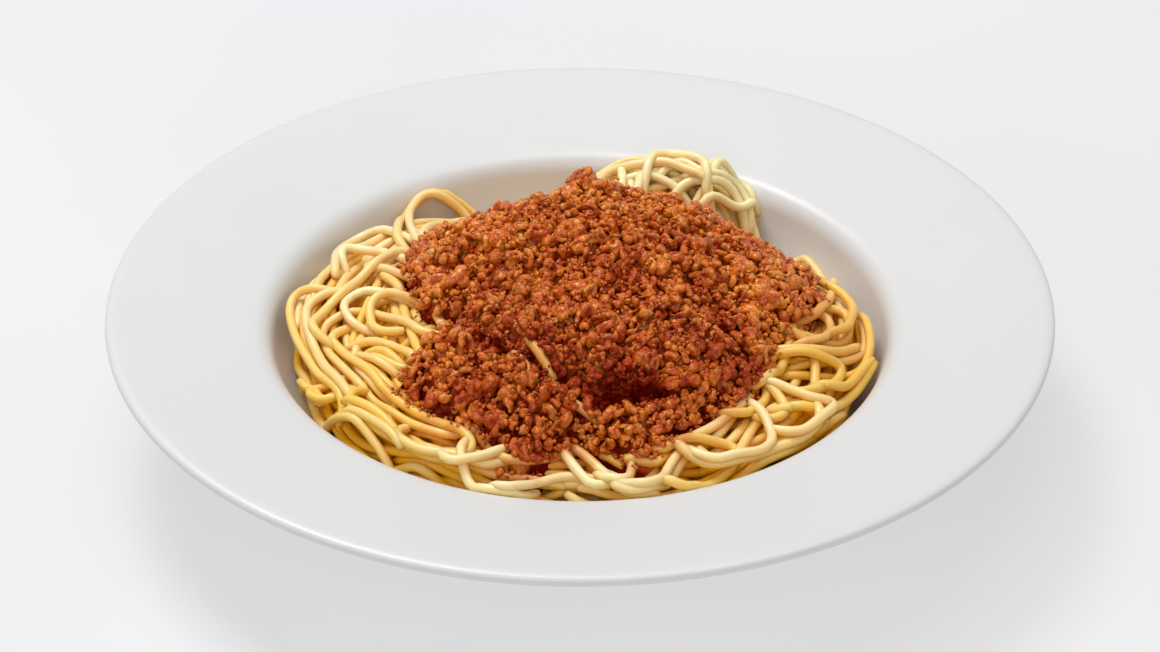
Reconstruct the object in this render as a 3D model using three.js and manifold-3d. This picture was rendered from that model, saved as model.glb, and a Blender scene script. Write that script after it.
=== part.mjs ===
// Plate of spaghetti bolognese, in millimetres, +Z up.
//
// A white porcelain pasta plate with a deep well and a wide, gently rising rim holds a heap of
// cooked spaghetti, and a mound of minced meat in tomato sauce lies on the heap.
// The origin is the centre of the plate's foot, on the table. The eater sits on the -Y side.

import * as THREE from "three";
import { mergeVertices } from "three/addons/utils/BufferGeometryUtils.js";
import Module from "manifold-3d";

const wasm = await Module();
wasm.setup();

// Plate
const RIM_RADIUS = 135;
const RIM_HEIGHT = 45.5;
const WELL_RADIUS = 91.5;
const WELL_EDGE_HEIGHT = 38.4;
const FLOOR_RADIUS = 56;
const FLOOR_HEIGHT = 7;
const FOOT_RADIUS = 60;
const FOOT_WIDTH = 4;
const RECESS_HEIGHT = 2.6;
const LIP_THICKNESS = 3.4;
const PLATE_SIDES = 52;

// Solids' faces may move by this much when slivers are cleaned off after joining and cutting.
const SIMPLIFY = 0.08;

// Heap of spaghetti: the bare core's height over the well, before the noodles lie on it
const HEAP_RADIUS = 84;
const HEAP_EDGE_HEIGHT = 31;
const HEAP_CROWN_HEIGHT = 48;
const HEAP_ROUNDNESS = 2.2;
const HEAP_BELLS = [
  { x: 33, y: 71, spreadX: 17, spreadY: 10.5, height: 18 },
  { x: 9, y: 67, spreadX: 11, spreadY: 12, height: 12 },
  { x: -11, y: 73, spreadX: 24, spreadY: 15, height: -12 },
  { x: 54, y: 53, spreadX: 15, spreadY: 18, height: -13 },
];
const CORE_RINGS = 9;
const CORE_RADIUS = 88;

// Noodles
const NOODLE_RADIUS = 1.4;
const NOODLE_SIDES = 5;
const NOODLE_STEP = 7;
const NOODLE_CORNER_RADIUS = 1.55;
const NOODLE_SINK = 0.12;
const NOODLE_ARCH = 0.45;
const NOODLE_ARCH_PITCH = 21;
const WALL_GAP = 0.6;
const SWEEPS = {
  starts: [
    [140, 75],
    [176, 81],
    [204, 77],
    [228, 82],
    [262, 78],
    [288, 82],
    [322, 77],
  ],
  turn: 82,
  swing: 2.6,
};
const LOOPS = { count: 12, from: -176, step: 20, reach: 79, spread: 6, width: 11, widthSpread: 8 };
const CROSSERS = { directions: [-168, -147, -122, -94, -62, -30, 30, 148], turn: 12, spread: 9 };
const HUMP_ARCS = { x: 31, y: 55, radiusX: 8, radiusY: 9, step: 5, count: 4, from: -20, to: 195 };
const BACK_ARCS = { x: -49, y: 56, radiusX: 6, radiusY: 9, step: 4.4, count: 3, from: -35, to: 215 };

// Mound of meat sauce: radii of its outline every 15 degrees, counted from +X
const MOUND_CENTRE = { x: 5, y: -8 };
const MOUND_RADII = [
  60, 67, 67, 66, 61, 57, 56, 55, 53, 59, 64, 56, 50, 47, 62, 64, 63, 69, 62, 64, 57, 56, 54, 53,
];
const MOUND_RINGS = 17;
const MOUND_EDGE_THICKNESS = 2.2;
const MOUND_THICKNESS = 11.5;
const MOUND_EDGE_POWER = 5;
const MOUND_GAP = 0.35;
const RIDGE = { x: 8, y: 30, spreadX: 26, spreadY: 16, height: 3 };
const PEAK = { x: 0, y: 36.5, spreadX: 3, spreadY: 3, height: 6.5 };
const CLEFTS = [
  { from: [-33, -19], to: [-9, -42], width: 3.8, depth: 6.5 },
  { from: [-9, -42], to: [18, -48], width: 3.8, depth: 6.5 },
  { from: [48, -38], to: [31, -10], width: 3.2, depth: 4 },
];
const CLUMP_SIZE = 8.5;
const CLUMP_HEIGHT = 4.6;
const LOOSE_LUMPS = { count: 22, radius: 2.2, spread: 1 };

// A repeatable draw between 0 and 1.
function seeded(seed) {
  let state = seed >>> 0;
  return () => {
    state = (Math.imul(state, 1664525) + 1013904223) >>> 0;
    return state / 4294967296;
  };
}

const bell = (x, y, b) =>
  b.height * Math.exp(-(((x - b.x) / b.spreadX) ** 2 + ((y - b.y) / b.spreadY) ** 2) / 2);

// Makes a closed three.js mesh geometry a solid for joining and cutting.
function toSolid(geometry) {
  const bare = geometry.clone();
  bare.deleteAttribute("normal");
  bare.deleteAttribute("uv");
  const merged = mergeVertices(bare, 1e-3);
  return new wasm.Manifold(
    new wasm.Mesh({
      numProp: 3,
      vertProperties: new Float32Array(merged.attributes.position.array),
      triVerts: new Uint32Array(merged.index.array),
    }),
  );
}

// Gives a solid's triangles back as a geometry.
function toGeometry(solid) {
  const mesh = solid.getMesh();
  return new THREE.BufferGeometry()
    .setAttribute("position", new THREE.BufferAttribute(new Float32Array(mesh.vertProperties), 3))
    .setIndex(new THREE.BufferAttribute(new Uint32Array(mesh.triVerts), 1));
}

// The largest body of a solid, without the scraps that cutting leaves.
function largest(solid) {
  return solid.decompose().reduce((a, b) => (b.volume() > a.volume() ? b : a));
}

// Turns a half profile of (radius, height) points about the Z axis.
function turned(points, sides) {
  return new THREE.LatheGeometry(points, sides).rotateX(Math.PI / 2);
}

// The well's inner face and the rim's upper face, from the centre out to the lip.
function upperProfile() {
  const path = new THREE.Path();
  path.moveTo(0, FLOOR_HEIGHT);
  path.lineTo(FLOOR_RADIUS, FLOOR_HEIGHT);
  path.bezierCurveTo(72, FLOOR_HEIGHT + 1, 83.5, 18, WELL_RADIUS - 4, 33);
  path.quadraticCurveTo(WELL_RADIUS - 2.7, 37.9, WELL_RADIUS + 1.5, WELL_EDGE_HEIGHT + 0.4);
  path.lineTo(RIM_RADIUS - 3, RIM_HEIGHT - 0.2);
  return path.getPoints(4);
}

// The lip, the rim's underside, the outer wall and the foot, from the lip back to the centre.
function lowerProfile() {
  const path = new THREE.Path();
  path.moveTo(RIM_RADIUS - 3, RIM_HEIGHT - 0.2);
  path.quadraticCurveTo(RIM_RADIUS, RIM_HEIGHT, RIM_RADIUS, RIM_HEIGHT - LIP_THICKNESS / 2);
  const under = RIM_HEIGHT - LIP_THICKNESS;
  path.quadraticCurveTo(RIM_RADIUS, under, RIM_RADIUS - 4, under - 0.8);
  path.lineTo(WELL_RADIUS + 4, WELL_EDGE_HEIGHT - 4.2);
  path.quadraticCurveTo(WELL_RADIUS + 0.5, WELL_EDGE_HEIGHT - 5.5, WELL_RADIUS - 2.5, 27);
  path.bezierCurveTo(86, 15, 76, 6, FOOT_RADIUS + 2, 4);
  path.lineTo(FOOT_RADIUS, 0);
  path.lineTo(FOOT_RADIUS - FOOT_WIDTH, 0);
  path.lineTo(FOOT_RADIUS - FOOT_WIDTH - 1.5, RECESS_HEIGHT);
  path.lineTo(0, RECESS_HEIGHT + 0.4);
  return path.getPoints(3);
}

const upper = upperProfile();

// Height of the well's inner face and the rim at a distance from the plate's centre.
function wellHeight(radius) {
  const k = upper.findIndex((p) => p.x >= radius);
  if (k < 1) return k === 0 ? FLOOR_HEIGHT : RIM_HEIGHT;
  const [a, b] = [upper[k - 1], upper[k]];
  return a.y + ((b.y - a.y) * (radius - a.x)) / (b.x - a.x || 1);
}

// Height of the bare heap.
function heapHeight(x, y) {
  const share = Math.min(Math.hypot(x, y) / HEAP_RADIUS, 1.1);
  const dome = (HEAP_CROWN_HEIGHT - HEAP_EDGE_HEIGHT) * (1 - share ** HEAP_ROUNDNESS);
  return HEAP_BELLS.reduce((sum, b) => sum + bell(x, y, b), HEAP_EDGE_HEIGHT + dome);
}

// Radius of the mound's outline in a direction from its centre, by a smooth curve through MOUND_RADII.
function moundRadius(angle) {
  const n = MOUND_RADII.length;
  const place = (((angle / (2 * Math.PI)) % 1) + 1) * n;
  const k = Math.floor(place);
  const t = place - k;
  const at = (i) => MOUND_RADII[(k + i + n) % n];
  const a = -at(-1) / 2 + (3 * at(0)) / 2 - (3 * at(1)) / 2 + at(2) / 2;
  const b = at(-1) - (5 * at(0)) / 2 + 2 * at(1) - at(2) / 2;
  const c = (at(1) - at(-1)) / 2;
  return ((a * t + b) * t + c) * t + at(0);
}

// How far out a point lies on the mound: 0 at its centre, 1 on its outline grown by a margin.
function moundShare(x, y, margin = 0) {
  const dx = x - MOUND_CENTRE.x;
  const dy = y - MOUND_CENTRE.y;
  return Math.hypot(dx, dy) / (moundRadius(Math.atan2(dy, dx)) + margin);
}

// Round clumps of mince, each the top of a ball about one jittered point of a square grid.
function clumps(x, y) {
  const i0 = Math.floor(x / CLUMP_SIZE);
  const j0 = Math.floor(y / CLUMP_SIZE);
  let best = 0;
  for (let i = i0 - 1; i <= i0 + 1; i++) {
    for (let j = j0 - 1; j <= j0 + 1; j++) {
      const draw = seeded((i + 50) * 7919 + (j + 50) * 104729);
      draw();
      const cx = (i + 0.2 + 0.6 * draw()) * CLUMP_SIZE;
      const cy = (j + 0.2 + 0.6 * draw()) * CLUMP_SIZE;
      const size = CLUMP_SIZE * (0.5 + 0.35 * draw());
      const rise = 1 - ((x - cx) ** 2 + (y - cy) ** 2) / size ** 2;
      best = Math.max(best, Math.sqrt(Math.max(rise, 0)) * (0.6 + 0.4 * draw()));
    }
  }
  return CLUMP_HEIGHT * best;
}

// Depth of the clefts between the mound's lobes.
function cleftDepth(x, y) {
  let depth = 0;
  for (const { from, to, width, depth: most } of CLEFTS) {
    const run = [to[0] - from[0], to[1] - from[1]];
    const along = ((x - from[0]) * run[0] + (y - from[1]) * run[1]) / (run[0] ** 2 + run[1] ** 2);
    const t = Math.min(Math.max(along, 0), 1);
    const away = Math.hypot(x - from[0] - t * run[0], y - from[1] - t * run[1]);
    depth = Math.max(depth, most * Math.exp(-((away / width) ** 2) / 2));
  }
  return depth;
}

// Height of the mound's top.
function moundHeight(x, y) {
  const share = Math.min(moundShare(x, y), 1);
  const edge = 1 - share ** MOUND_EDGE_POWER;
  const bumps = bell(x, y, RIDGE) - cleftDepth(x, y);
  const body = edge * (MOUND_THICKNESS + bumps - CLUMP_HEIGHT / 2) + bell(x, y, PEAK);
  return heapHeight(x, y) + MOUND_EDGE_THICKNESS + body + clumps(x, y) * (0.3 + 0.7 * edge);
}

// A closed solid over a disc of hexagonally arranged points: its top follows a height function,
// its side drops straight down and its bottom is flat.
function heightSolid(rings, centre, radiusAt, heightAt, bottom) {
  const points = [];
  const faces = [];
  const start = (k) => (k === 0 ? 0 : 1 + 3 * k * (k - 1));
  for (let k = 0; k <= rings; k++) {
    for (let j = 0; j < Math.max(6 * k, 1); j++) {
      const angle = (2 * Math.PI * j) / Math.max(6 * k, 1);
      const radius = (radiusAt(angle) * k) / rings;
      const x = centre.x + radius * Math.cos(angle);
      const y = centre.y + radius * Math.sin(angle);
      points.push(x, y, heightAt(x, y));
    }
  }
  for (let k = 1; k <= rings; k++) {
    const outer = (j) => start(k) + (j % (6 * k));
    const inner = (j) => (k === 1 ? 0 : start(k - 1) + (j % (6 * (k - 1))));
    for (let side = 0; side < 6; side++) {
      for (let j = 0; j < k; j++) {
        const o = side * k + j;
        const i = side * (k - 1) + j;
        faces.push(inner(i), outer(o), outer(o + 1));
        if (j < k - 1) faces.push(inner(i), outer(o + 1), inner(i + 1));
      }
    }
  }
  const rim = 6 * rings;
  const top = start(rings);
  const base = points.length / 3;
  for (let j = 0; j < rim; j++) points.push(points[3 * (top + j)], points[3 * (top + j) + 1], bottom);
  points.push(centre.x, centre.y, bottom);
  for (let j = 0; j < rim; j++) {
    const next = (j + 1) % rim;
    faces.push(top + j, base + j, base + next, top + j, base + next, top + next);
    faces.push(base + rim, base + next, base + j);
  }
  return new wasm.Manifold(
    new wasm.Mesh({
      numProp: 3,
      vertProperties: new Float32Array(points),
      triVerts: new Uint32Array(faces),
    }),
  );
}

// The space that food may fill: the well's inside, less a gap, carried straight up above the edge.
// Every second point of the hidden lower wall is left out.
function wellSpace() {
  const inside = upper
    .filter((p, k) => p.x >= FLOOR_RADIUS && p.y < WELL_EDGE_HEIGHT - 1 && (p.y > 25 || k % 2))
    .map((p) => new THREE.Vector2(p.x - WALL_GAP, p.y + WALL_GAP));
  const last = inside[inside.length - 1];
  const top = 2 * RIM_HEIGHT;
  const profile = [
    new THREE.Vector2(0, FLOOR_HEIGHT + WALL_GAP),
    ...inside,
    new THREE.Vector2(last.x, top),
    new THREE.Vector2(0, top),
  ];
  return toSolid(turned(profile, PLATE_SIDES));
}

// What the noodles lie on, as heights on a square grid of 1 mm cells over the well.
const FIELD = 2 * Math.ceil(WELL_RADIUS) + 1;
const field = new Float32Array(FIELD * FIELD);
const cellOf = (x, y) => {
  const i = Math.round(x + WELL_RADIUS);
  const j = Math.round(y + WELL_RADIUS);
  return i < 0 || j < 0 || i >= FIELD || j >= FIELD ? -1 : j * FIELD + i;
};
for (let j = 0; j < FIELD; j++) {
  for (let i = 0; i < FIELD; i++) {
    const x = i - WELL_RADIUS;
    const y = j - WELL_RADIUS;
    const wall = wellHeight(Math.hypot(x, y)) + WALL_GAP;
    field[j * FIELD + i] = Math.max(heapHeight(x, y), wall);
  }
}

// Calls a function with the offset of each cell that a noodle's width covers.
function overWidth(use) {
  const reach = Math.ceil(NOODLE_RADIUS);
  for (let dx = -reach; dx <= reach; dx++) {
    for (let dy = -reach; dy <= reach; dy++) {
      const d2 = dx * dx + dy * dy;
      if (d2 <= NOODLE_RADIUS ** 2 + 0.1) use(dx, dy, Math.sqrt(Math.max(NOODLE_RADIUS ** 2 - d2, 0)));
    }
  }
}

// Lays a noodle with the plan given by points on what is there already, and adds it to the field.
// It touches what carries it at every NOODLE_ARCH_PITCH and arches a little between.
function lay(plan) {
  const curve = new THREE.CatmullRomCurve3(plan.map(([x, y]) => new THREE.Vector3(x, y, 0)));
  const length = curve.getLength();
  const count = Math.max(Math.round(length / 1.5), 8);
  const points = curve.getSpacedPoints(count);
  const held = points.map((p, i) => {
    let height = 0;
    overWidth((dx, dy, bulge) => {
      const cell = cellOf(p.x + dx, p.y + dy);
      if (cell >= 0) height = Math.max(height, field[cell] + bulge);
    });
    const along = (2 * Math.PI * i * length) / (count * NOODLE_ARCH_PITCH);
    return height - NOODLE_SINK - NOODLE_ARCH * Math.cos(along);
  });
  let heights = [...held];
  for (let pass = 0; pass < 12; pass++) {
    heights = heights.map((h, i) => {
      const before = heights[Math.max(i - 1, 0)];
      const after = heights[Math.min(i + 1, heights.length - 1)];
      return Math.max((before + 2 * h + after) / 4, held[i]);
    });
  }
  points.forEach((p, i) => {
    p.z = heights[i];
    overWidth((dx, dy, bulge) => {
      const cell = cellOf(p.x + dx, p.y + dy);
      if (cell >= 0) field[cell] = Math.max(field[cell], p.z + bulge);
    });
  });
  return points;
}

// The stretches of a laid noodle that stay clear of the mound.
function clearRuns(points) {
  const runs = [[]];
  for (const p of points) {
    if (moundShare(p.x, p.y, NOODLE_RADIUS + MOUND_GAP + 0.5) > 1) runs[runs.length - 1].push(p);
    else if (runs[runs.length - 1].length) runs.push([]);
  }
  return runs.filter((run) => run.length > 10);
}

// A noodle's body along a run of points.
function noodleSolid(run) {
  const path = new THREE.CatmullRomCurve3(run);
  const section = new THREE.Shape();
  section.absarc(0, 0, NOODLE_CORNER_RADIUS, 0, 2 * Math.PI);
  const outline = new THREE.Shape(section.getSpacedPoints(NOODLE_SIDES).slice(0, NOODLE_SIDES));
  const steps = Math.max(Math.round(path.getLength() / NOODLE_STEP), 3);
  return toSolid(new THREE.ExtrudeGeometry(outline, { extrudePath: path, steps, bevelEnabled: false }));
}

const polar = (degrees, radius) => {
  const angle = (degrees * Math.PI) / 180;
  return [radius * Math.cos(angle), radius * Math.sin(angle)];
};

// Long noodles that follow the well's wall, swinging in and out.
function sweeps() {
  const draw = seeded(11);
  return SWEEPS.starts.map(([start, radius]) => {
    const phase = 6 * draw();
    const plan = [];
    for (let k = 0; k <= 8; k++) {
      const swing = SWEEPS.swing * Math.sin(phase + 1.1 * k);
      plan.push(polar(start + (SWEEPS.turn * k) / 8, radius + swing));
    }
    return plan;
  });
}

// Noodles that come out from under the mound, bend over near the wall and go back.
function loops() {
  const draw = seeded(5);
  const plans = [];
  for (let k = 0; k < LOOPS.count; k++) {
    const direction = LOOPS.from + LOOPS.step * k;
    const width = LOOPS.width + LOOPS.widthSpread * draw();
    const lean = 8 * (draw() - 0.5);
    const outer = LOOPS.reach - LOOPS.spread * draw();
    plans.push([
      polar(direction - width * 1.1, 52),
      polar(direction - width, 64),
      polar(direction - width * 0.55 + lean, outer - 2),
      polar(direction + lean, outer),
      polar(direction + width * 0.6 + lean, outer - 3),
      polar(direction + width, 63),
      polar(direction + width * 1.3, 52),
    ]);
  }
  return plans;
}

// Short noodles that lie across the others.
function crossers() {
  const draw = seeded(23);
  return CROSSERS.directions.map((direction) => {
    const turn = CROSSERS.turn + CROSSERS.spread * draw();
    return [
      polar(direction - turn, 80),
      polar(direction - turn / 3, 74 - 3 * draw()),
      polar(direction + turn / 3, 68),
      polar(direction + turn, 61 - 4 * draw()),
    ];
  });
}

// Noodles that bend in nested arcs over one place, the smallest first.
function arcs({ x, y, radiusX, radiusY, step, count, from, to }) {
  const plans = [];
  for (let k = 0; k < count; k++) {
    const plan = [];
    for (let j = 0; j <= 8; j++) {
      const [dx, dy] = polar(from + ((to - from) * j) / 8, 1);
      plan.push([x + dx * (radiusX + step * k), y + dy * (radiusY + step * k)]);
    }
    plans.push(plan);
  }
  return plans;
}

// Loose lumps of mince over the mound and along its edge.
function looseLumps() {
  const draw = seeded(77);
  const lumps = [];
  for (let k = 0; k < LOOSE_LUMPS.count; k++) {
    const angle = (2 * Math.PI * (k + 0.6 * draw())) / LOOSE_LUMPS.count;
    const share = k % 2 ? 0.93 : 0.35 + 0.4 * draw();
    const x = MOUND_CENTRE.x + share * moundRadius(angle) * Math.cos(angle);
    const y = MOUND_CENTRE.y + share * moundRadius(angle) * Math.sin(angle);
    const radius = LOOSE_LUMPS.radius + LOOSE_LUMPS.spread * draw();
    const ball = new THREE.IcosahedronGeometry(radius, 0).scale(1.15, 0.95, 0.85);
    lumps.push(toSolid(ball.rotateZ(angle).translate(x, y, moundHeight(x, y))));
  }
  return lumps;
}

const plate = toSolid(turned([...upper, ...lowerProfile().slice(1)].reverse(), PLATE_SIDES));

const space = wellSpace();
const core = heightSolid(
  CORE_RINGS,
  { x: 0, y: 0 },
  () => CORE_RADIUS,
  heapHeight,
  FLOOR_HEIGHT - 2,
);
const plans = [...sweeps(), ...arcs(HUMP_ARCS), ...arcs(BACK_ARCS), ...loops(), ...crossers()];
const noodles = plans.flatMap((plan) => clearRuns(lay(plan))).map(noodleSolid);
const spaghetti = largest(wasm.Manifold.union([core, ...noodles]).intersect(space).simplify(SIMPLIFY));

const under = core.translate([0, 0, MOUND_GAP]);
const mound = heightSolid(MOUND_RINGS, MOUND_CENTRE, moundRadius, moundHeight, HEAP_EDGE_HEIGHT - 12);
const sauce = wasm.Manifold.union([mound, ...looseLumps()]).subtract(under);
const bolognese = largest(sauce.simplify(SIMPLIFY));

// Joins a solid and a material into one named piece.
function piece(name, solid, colour, roughness) {
  const material = new THREE.MeshStandardMaterial({ color: colour, roughness, metalness: 0 });
  const mesh = new THREE.Mesh(toGeometry(solid), material);
  mesh.name = name;
  return mesh;
}

const dish = new THREE.Group();
dish.add(piece("plate", plate, 0xeceae6, 0.15));
dish.add(piece("spaghetti", spaghetti, 0xecca7c, 0.45));
dish.add(piece("bolognese", bolognese, 0x98401a, 0.5));

export default dish;
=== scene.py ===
# Looks of a plate of spaghetti bolognese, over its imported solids.
#
# Lengths in the classes are millimetres, in the frame of the solids: the origin is the centre of
# the plate's foot, +Z is up and the eater sits on the -Y side. mesh_piece() turns them to metres.

import logging
from collections.abc import Callable
from dataclasses import dataclass, field
from enum import Enum

import bpy
import numpy as np
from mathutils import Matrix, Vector


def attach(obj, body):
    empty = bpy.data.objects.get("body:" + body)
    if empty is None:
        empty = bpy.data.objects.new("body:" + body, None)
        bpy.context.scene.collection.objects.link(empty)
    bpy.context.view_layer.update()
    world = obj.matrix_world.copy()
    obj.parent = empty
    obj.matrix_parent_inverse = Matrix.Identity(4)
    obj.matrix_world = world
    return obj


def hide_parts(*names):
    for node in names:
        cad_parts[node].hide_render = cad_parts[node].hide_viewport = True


log = logging.getLogger("plate_of_spaghetti")
logging.basicConfig(level=logging.INFO, format="%(name)s: %(message)s")

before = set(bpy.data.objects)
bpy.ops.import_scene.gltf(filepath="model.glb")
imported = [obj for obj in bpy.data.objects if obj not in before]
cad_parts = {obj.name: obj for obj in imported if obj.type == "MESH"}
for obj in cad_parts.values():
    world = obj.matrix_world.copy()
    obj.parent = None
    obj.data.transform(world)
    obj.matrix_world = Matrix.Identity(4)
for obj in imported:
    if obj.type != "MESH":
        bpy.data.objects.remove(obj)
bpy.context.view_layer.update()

MM = 0.001
Array = np.ndarray
Socket = bpy.types.NodeSocket
Colour = tuple[float, float, float]
Groups = dict[str, bpy.types.NodeTree]
Inputs = dict[int | str, Socket | Colour | float]

CURVE_STEPS = 24  # places between two points of a smooth path
LUMP_GRID = 64  # tops of a crumbly relief in each direction before it repeats
FULL = 99.0  # a height that marks a place as not free


class Slot(Enum):
    """Names for the porcelain, the pasta and the meat sauce."""

    PORCELAIN = "porcelain"
    PASTA = "pasta"
    MEAT_SAUCE = "meat_sauce"


# Curves and noise


def bezier(points: list[tuple[float, float]], count: int) -> Array:
    """Works out points on a Bezier curve of any degree by repeated blending of its corners.

    Args:
        points: The curve's corners, as (radius, height).
        count: How many points to give, both ends included.

    Returns:
        An array of shape (count, 2).
    """
    t = np.linspace(0.0, 1.0, count)[:, None]
    rows = [np.broadcast_to(np.array(p, float), (count, 2)) for p in points]
    while len(rows) > 1:
        rows = [a + (b - a) * t for a, b in zip(rows, rows[1:])]
    return rows[0]


def catmull_rom(a: Array, b: Array, c: Array, d: Array, t: Array) -> Array:
    """Gives points between b and c on a smooth curve through a, b, c and d.

    The curve is (2b + (c - a)t + (2a - 5b + 4c - d)t^2 + (3b - a - 3c + d)t^3) / 2.

    Args:
        a: The point before b.
        b: The point where t is 0.
        c: The point where t is 1.
        d: The point after c.
        t: Places between b and c.

    Returns:
        The points.
    """
    square, cube = 2 * a - 5 * b + 4 * c - d, 3 * b - a - 3 * c + d
    return (2 * b + (c - a) * t + square * t**2 + cube * t**3) / 2


def smooth_path(points: Array, step: float) -> Array:
    """Draws a Catmull-Rom curve through points and spaces it evenly.

    Args:
        points: The points, of shape (n, k).
        step: The spacing along the curve.

    Returns:
        An array of shape (m, k).
    """
    padded = np.vstack([2 * points[0] - points[1], points, 2 * points[-1] - points[-2]])
    t = np.linspace(0.0, 1.0, CURVE_STEPS, endpoint=False)[None, :, None]
    curve = catmull_rom(*(padded[i : len(padded) - 3 + i, None, :] for i in range(4)), t)
    dense = np.vstack([curve.reshape(-1, points.shape[1]), points[-1]])
    along = np.concatenate([[0.0], np.cumsum(np.linalg.norm(np.diff(dense, axis=0), axis=1))])
    places = np.linspace(0.0, along[-1], max(int(round(along[-1] / step)) + 1, 6))
    return np.column_stack([np.interp(places, along, dense[:, k]) for k in range(points.shape[1])])


def eased(line: Array) -> Array:
    """Evens out a line of values: each but the first and last becomes (before + 2 own + after) / 4.

    Args:
        line: Values or points, one after another.

    Returns:
        The evened line.
    """
    out = line.copy()
    out[1:-1] = (line[:-2] + 2 * line[1:-1] + line[2:]) / 4
    return out


def waves(x: Array, y: Array, size: float, seed: int) -> Array:
    """Gives smooth noise between about -1 and 1: the mean of eight sine waves in drawn directions.

    Args:
        x: X coordinates.
        y: Y coordinates.
        size: The length of the longest wave.
        seed: Starts the draw.

    Returns:
        An array of the shape of x.
    """
    rng = np.random.default_rng(seed)
    total = np.zeros_like(x, dtype=float)
    turns, phases = rng.uniform(0, np.pi, 8), rng.uniform(0, 2 * np.pi, 8)
    for turn, phase, pitch in zip(turns, phases, rng.uniform(0.45, 1, 8)):
        total += np.sin(2 * np.pi * (x * np.cos(turn) + y * np.sin(turn)) / (size * pitch) + phase)
    return total / 4


def lumps(x: Array, y: Array, size: float, seed: int) -> Array:
    """Gives a crumbly relief: the highest of round tops that stand on a shaken grid.

    A top at distance d from a point, with a drawn height h, reaches 0.6h - 1.1(d / size)^2 there.

    Args:
        x: X coordinates.
        y: Y coordinates.
        size: The grid's spacing.
        seed: Starts the draw.

    Returns:
        An array of the shape of x, between about -0.4 and 0.6.
    """
    shake_x, shake_y, tall = np.random.default_rng(seed).uniform(0, 1, (3, LUMP_GRID, LUMP_GRID))
    column, row = np.floor(x / size).astype(int), np.floor(y / size).astype(int)
    best = np.full(np.shape(x), -1.0)
    for i, j in np.ndindex(3, 3):
        a, b = (column + i - 1) % LUMP_GRID, (row + j - 1) % LUMP_GRID
        dx = column + i - 1 + 0.1 + 0.8 * shake_x[a, b] - x / size
        dy = row + j - 1 + 0.1 + 0.8 * shake_y[a, b] - y / size
        best = np.maximum(best, 0.6 * tall[a, b] - 1.1 * (dx**2 + dy**2))
    return best


# Forms that the food and the plate share


@dataclass(frozen=True)
class Bell:
    """A round bump or dip: height * exp(-((x - x0)^2 / sx^2 + (y - y0)^2 / sy^2) / 2)."""

    x: float
    y: float
    spread_x: float
    spread_y: float
    height: float

    def at(self, x: Array, y: Array) -> Array:
        """Gives the bump's height at points."""
        return self.height * np.exp(
            -(((x - self.x) / self.spread_x) ** 2 + ((y - self.y) / self.spread_y) ** 2) / 2
        )


def bells_at(bells: tuple[Bell, ...], x: Array, y: Array) -> Array:
    """Gives the sum of several bumps at points."""
    return sum(bell.at(x, y) for bell in bells)


def add_bumps(line: Array | float, angle: Array, bumps: tuple[tuple[float, float, float], ...]) -> Array:
    """Adds bumps to distances from a centre: amount * exp(-((angle - middle) / width)^2 / 2) each.

    Args:
        line: The distances without bumps.
        angle: Their angles about the centre, in radians.
        bumps: The middle, the width and the amount of each bump, in degrees and millimetres.

    Returns:
        The distances with bumps.
    """
    for middle, width, amount in bumps:
        off = (np.degrees(angle) - middle + 180) % 360 - 180
        line = line + amount * np.exp(-((off / width) ** 2) / 2)
    return line


@dataclass(frozen=True)
class PlateForm:
    """Sizes and half profile of the plate."""

    rim_radius: float = 135.0
    rim_height: float = 45.5
    well_radius: float = 91.5
    well_edge_height: float = 38.4
    floor_radius: float = 56.0
    floor_height: float = 7.0
    foot_radius: float = 60.0
    foot_width: float = 4.0
    recess_height: float = 2.6
    lip_thickness: float = 3.4

    def upper(self) -> Array:
        """Gives the well's inner face and the rim's upper face, from the centre out to the lip.

        Returns:
            (radius, height) points: a flat floor, a Bezier curve up the wall, another over the
            well's edge and a straight rim.
        """
        edge = self.well_radius
        top = self.well_edge_height
        flat = np.column_stack([np.linspace(0, self.floor_radius, 8), np.full(8, self.floor_height)])
        start = (self.floor_radius, self.floor_height)
        wall = bezier([start, (72, self.floor_height + 1), (83.5, 18), (edge - 4, 33)], 20)
        shoulder = bezier([(edge - 4, 33), (edge - 2.7, 37.9), (edge + 1.5, top + 0.4)], 12)
        last = (self.rim_radius - 3, self.rim_height - 0.2)
        rim = np.linspace(shoulder[-1], last, 14)
        return np.vstack([flat[:-1], wall[:-1], shoulder[:-1], rim])

    def lower(self) -> Array:
        """Gives the lip, the rim's underside, the outer wall and the foot, back to the centre.

        Returns:
            (radius, height) points that start where upper() ends.
        """
        rim, top, thick = self.rim_radius, self.rim_height, self.lip_thickness
        edge, high = self.well_radius, self.well_edge_height
        lip = bezier([(rim - 3, top - 0.2), (rim, top), (rim, top - thick / 2)], 8)
        under = bezier([(rim, top - thick / 2), (rim, top - thick), (rim - 4, top - thick - 0.8)], 8)
        turn = bezier([(edge + 4, high - 4.2), (edge + 0.5, high - 5.5), (edge - 2.5, 27)], 10)
        wall = bezier([(edge - 2.5, 27), (86, 15), (76, 6), (self.foot_radius + 2, 4)], 18)
        foot = self.foot_radius
        inner = foot - self.foot_width
        corners = [
            (foot + 0.9, 1.2),
            (foot, 0.35),
            (foot - 0.8, 0.0),
            (inner + 0.8, 0.0),
            (inner, 0.35),
            (inner - 1.5, self.recess_height),
            (20, self.recess_height + 0.3),
            (0, self.recess_height + 0.4),
        ]
        return np.vstack([lip, under[1:], turn, wall[1:], np.array(corners)])

    def inner_height(self, radius: Array) -> Array:
        """Gives the height of the well's inner face or the rim at distances from the centre."""
        upper = self.upper()
        return np.interp(radius, upper[:, 0], upper[:, 1])


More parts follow.
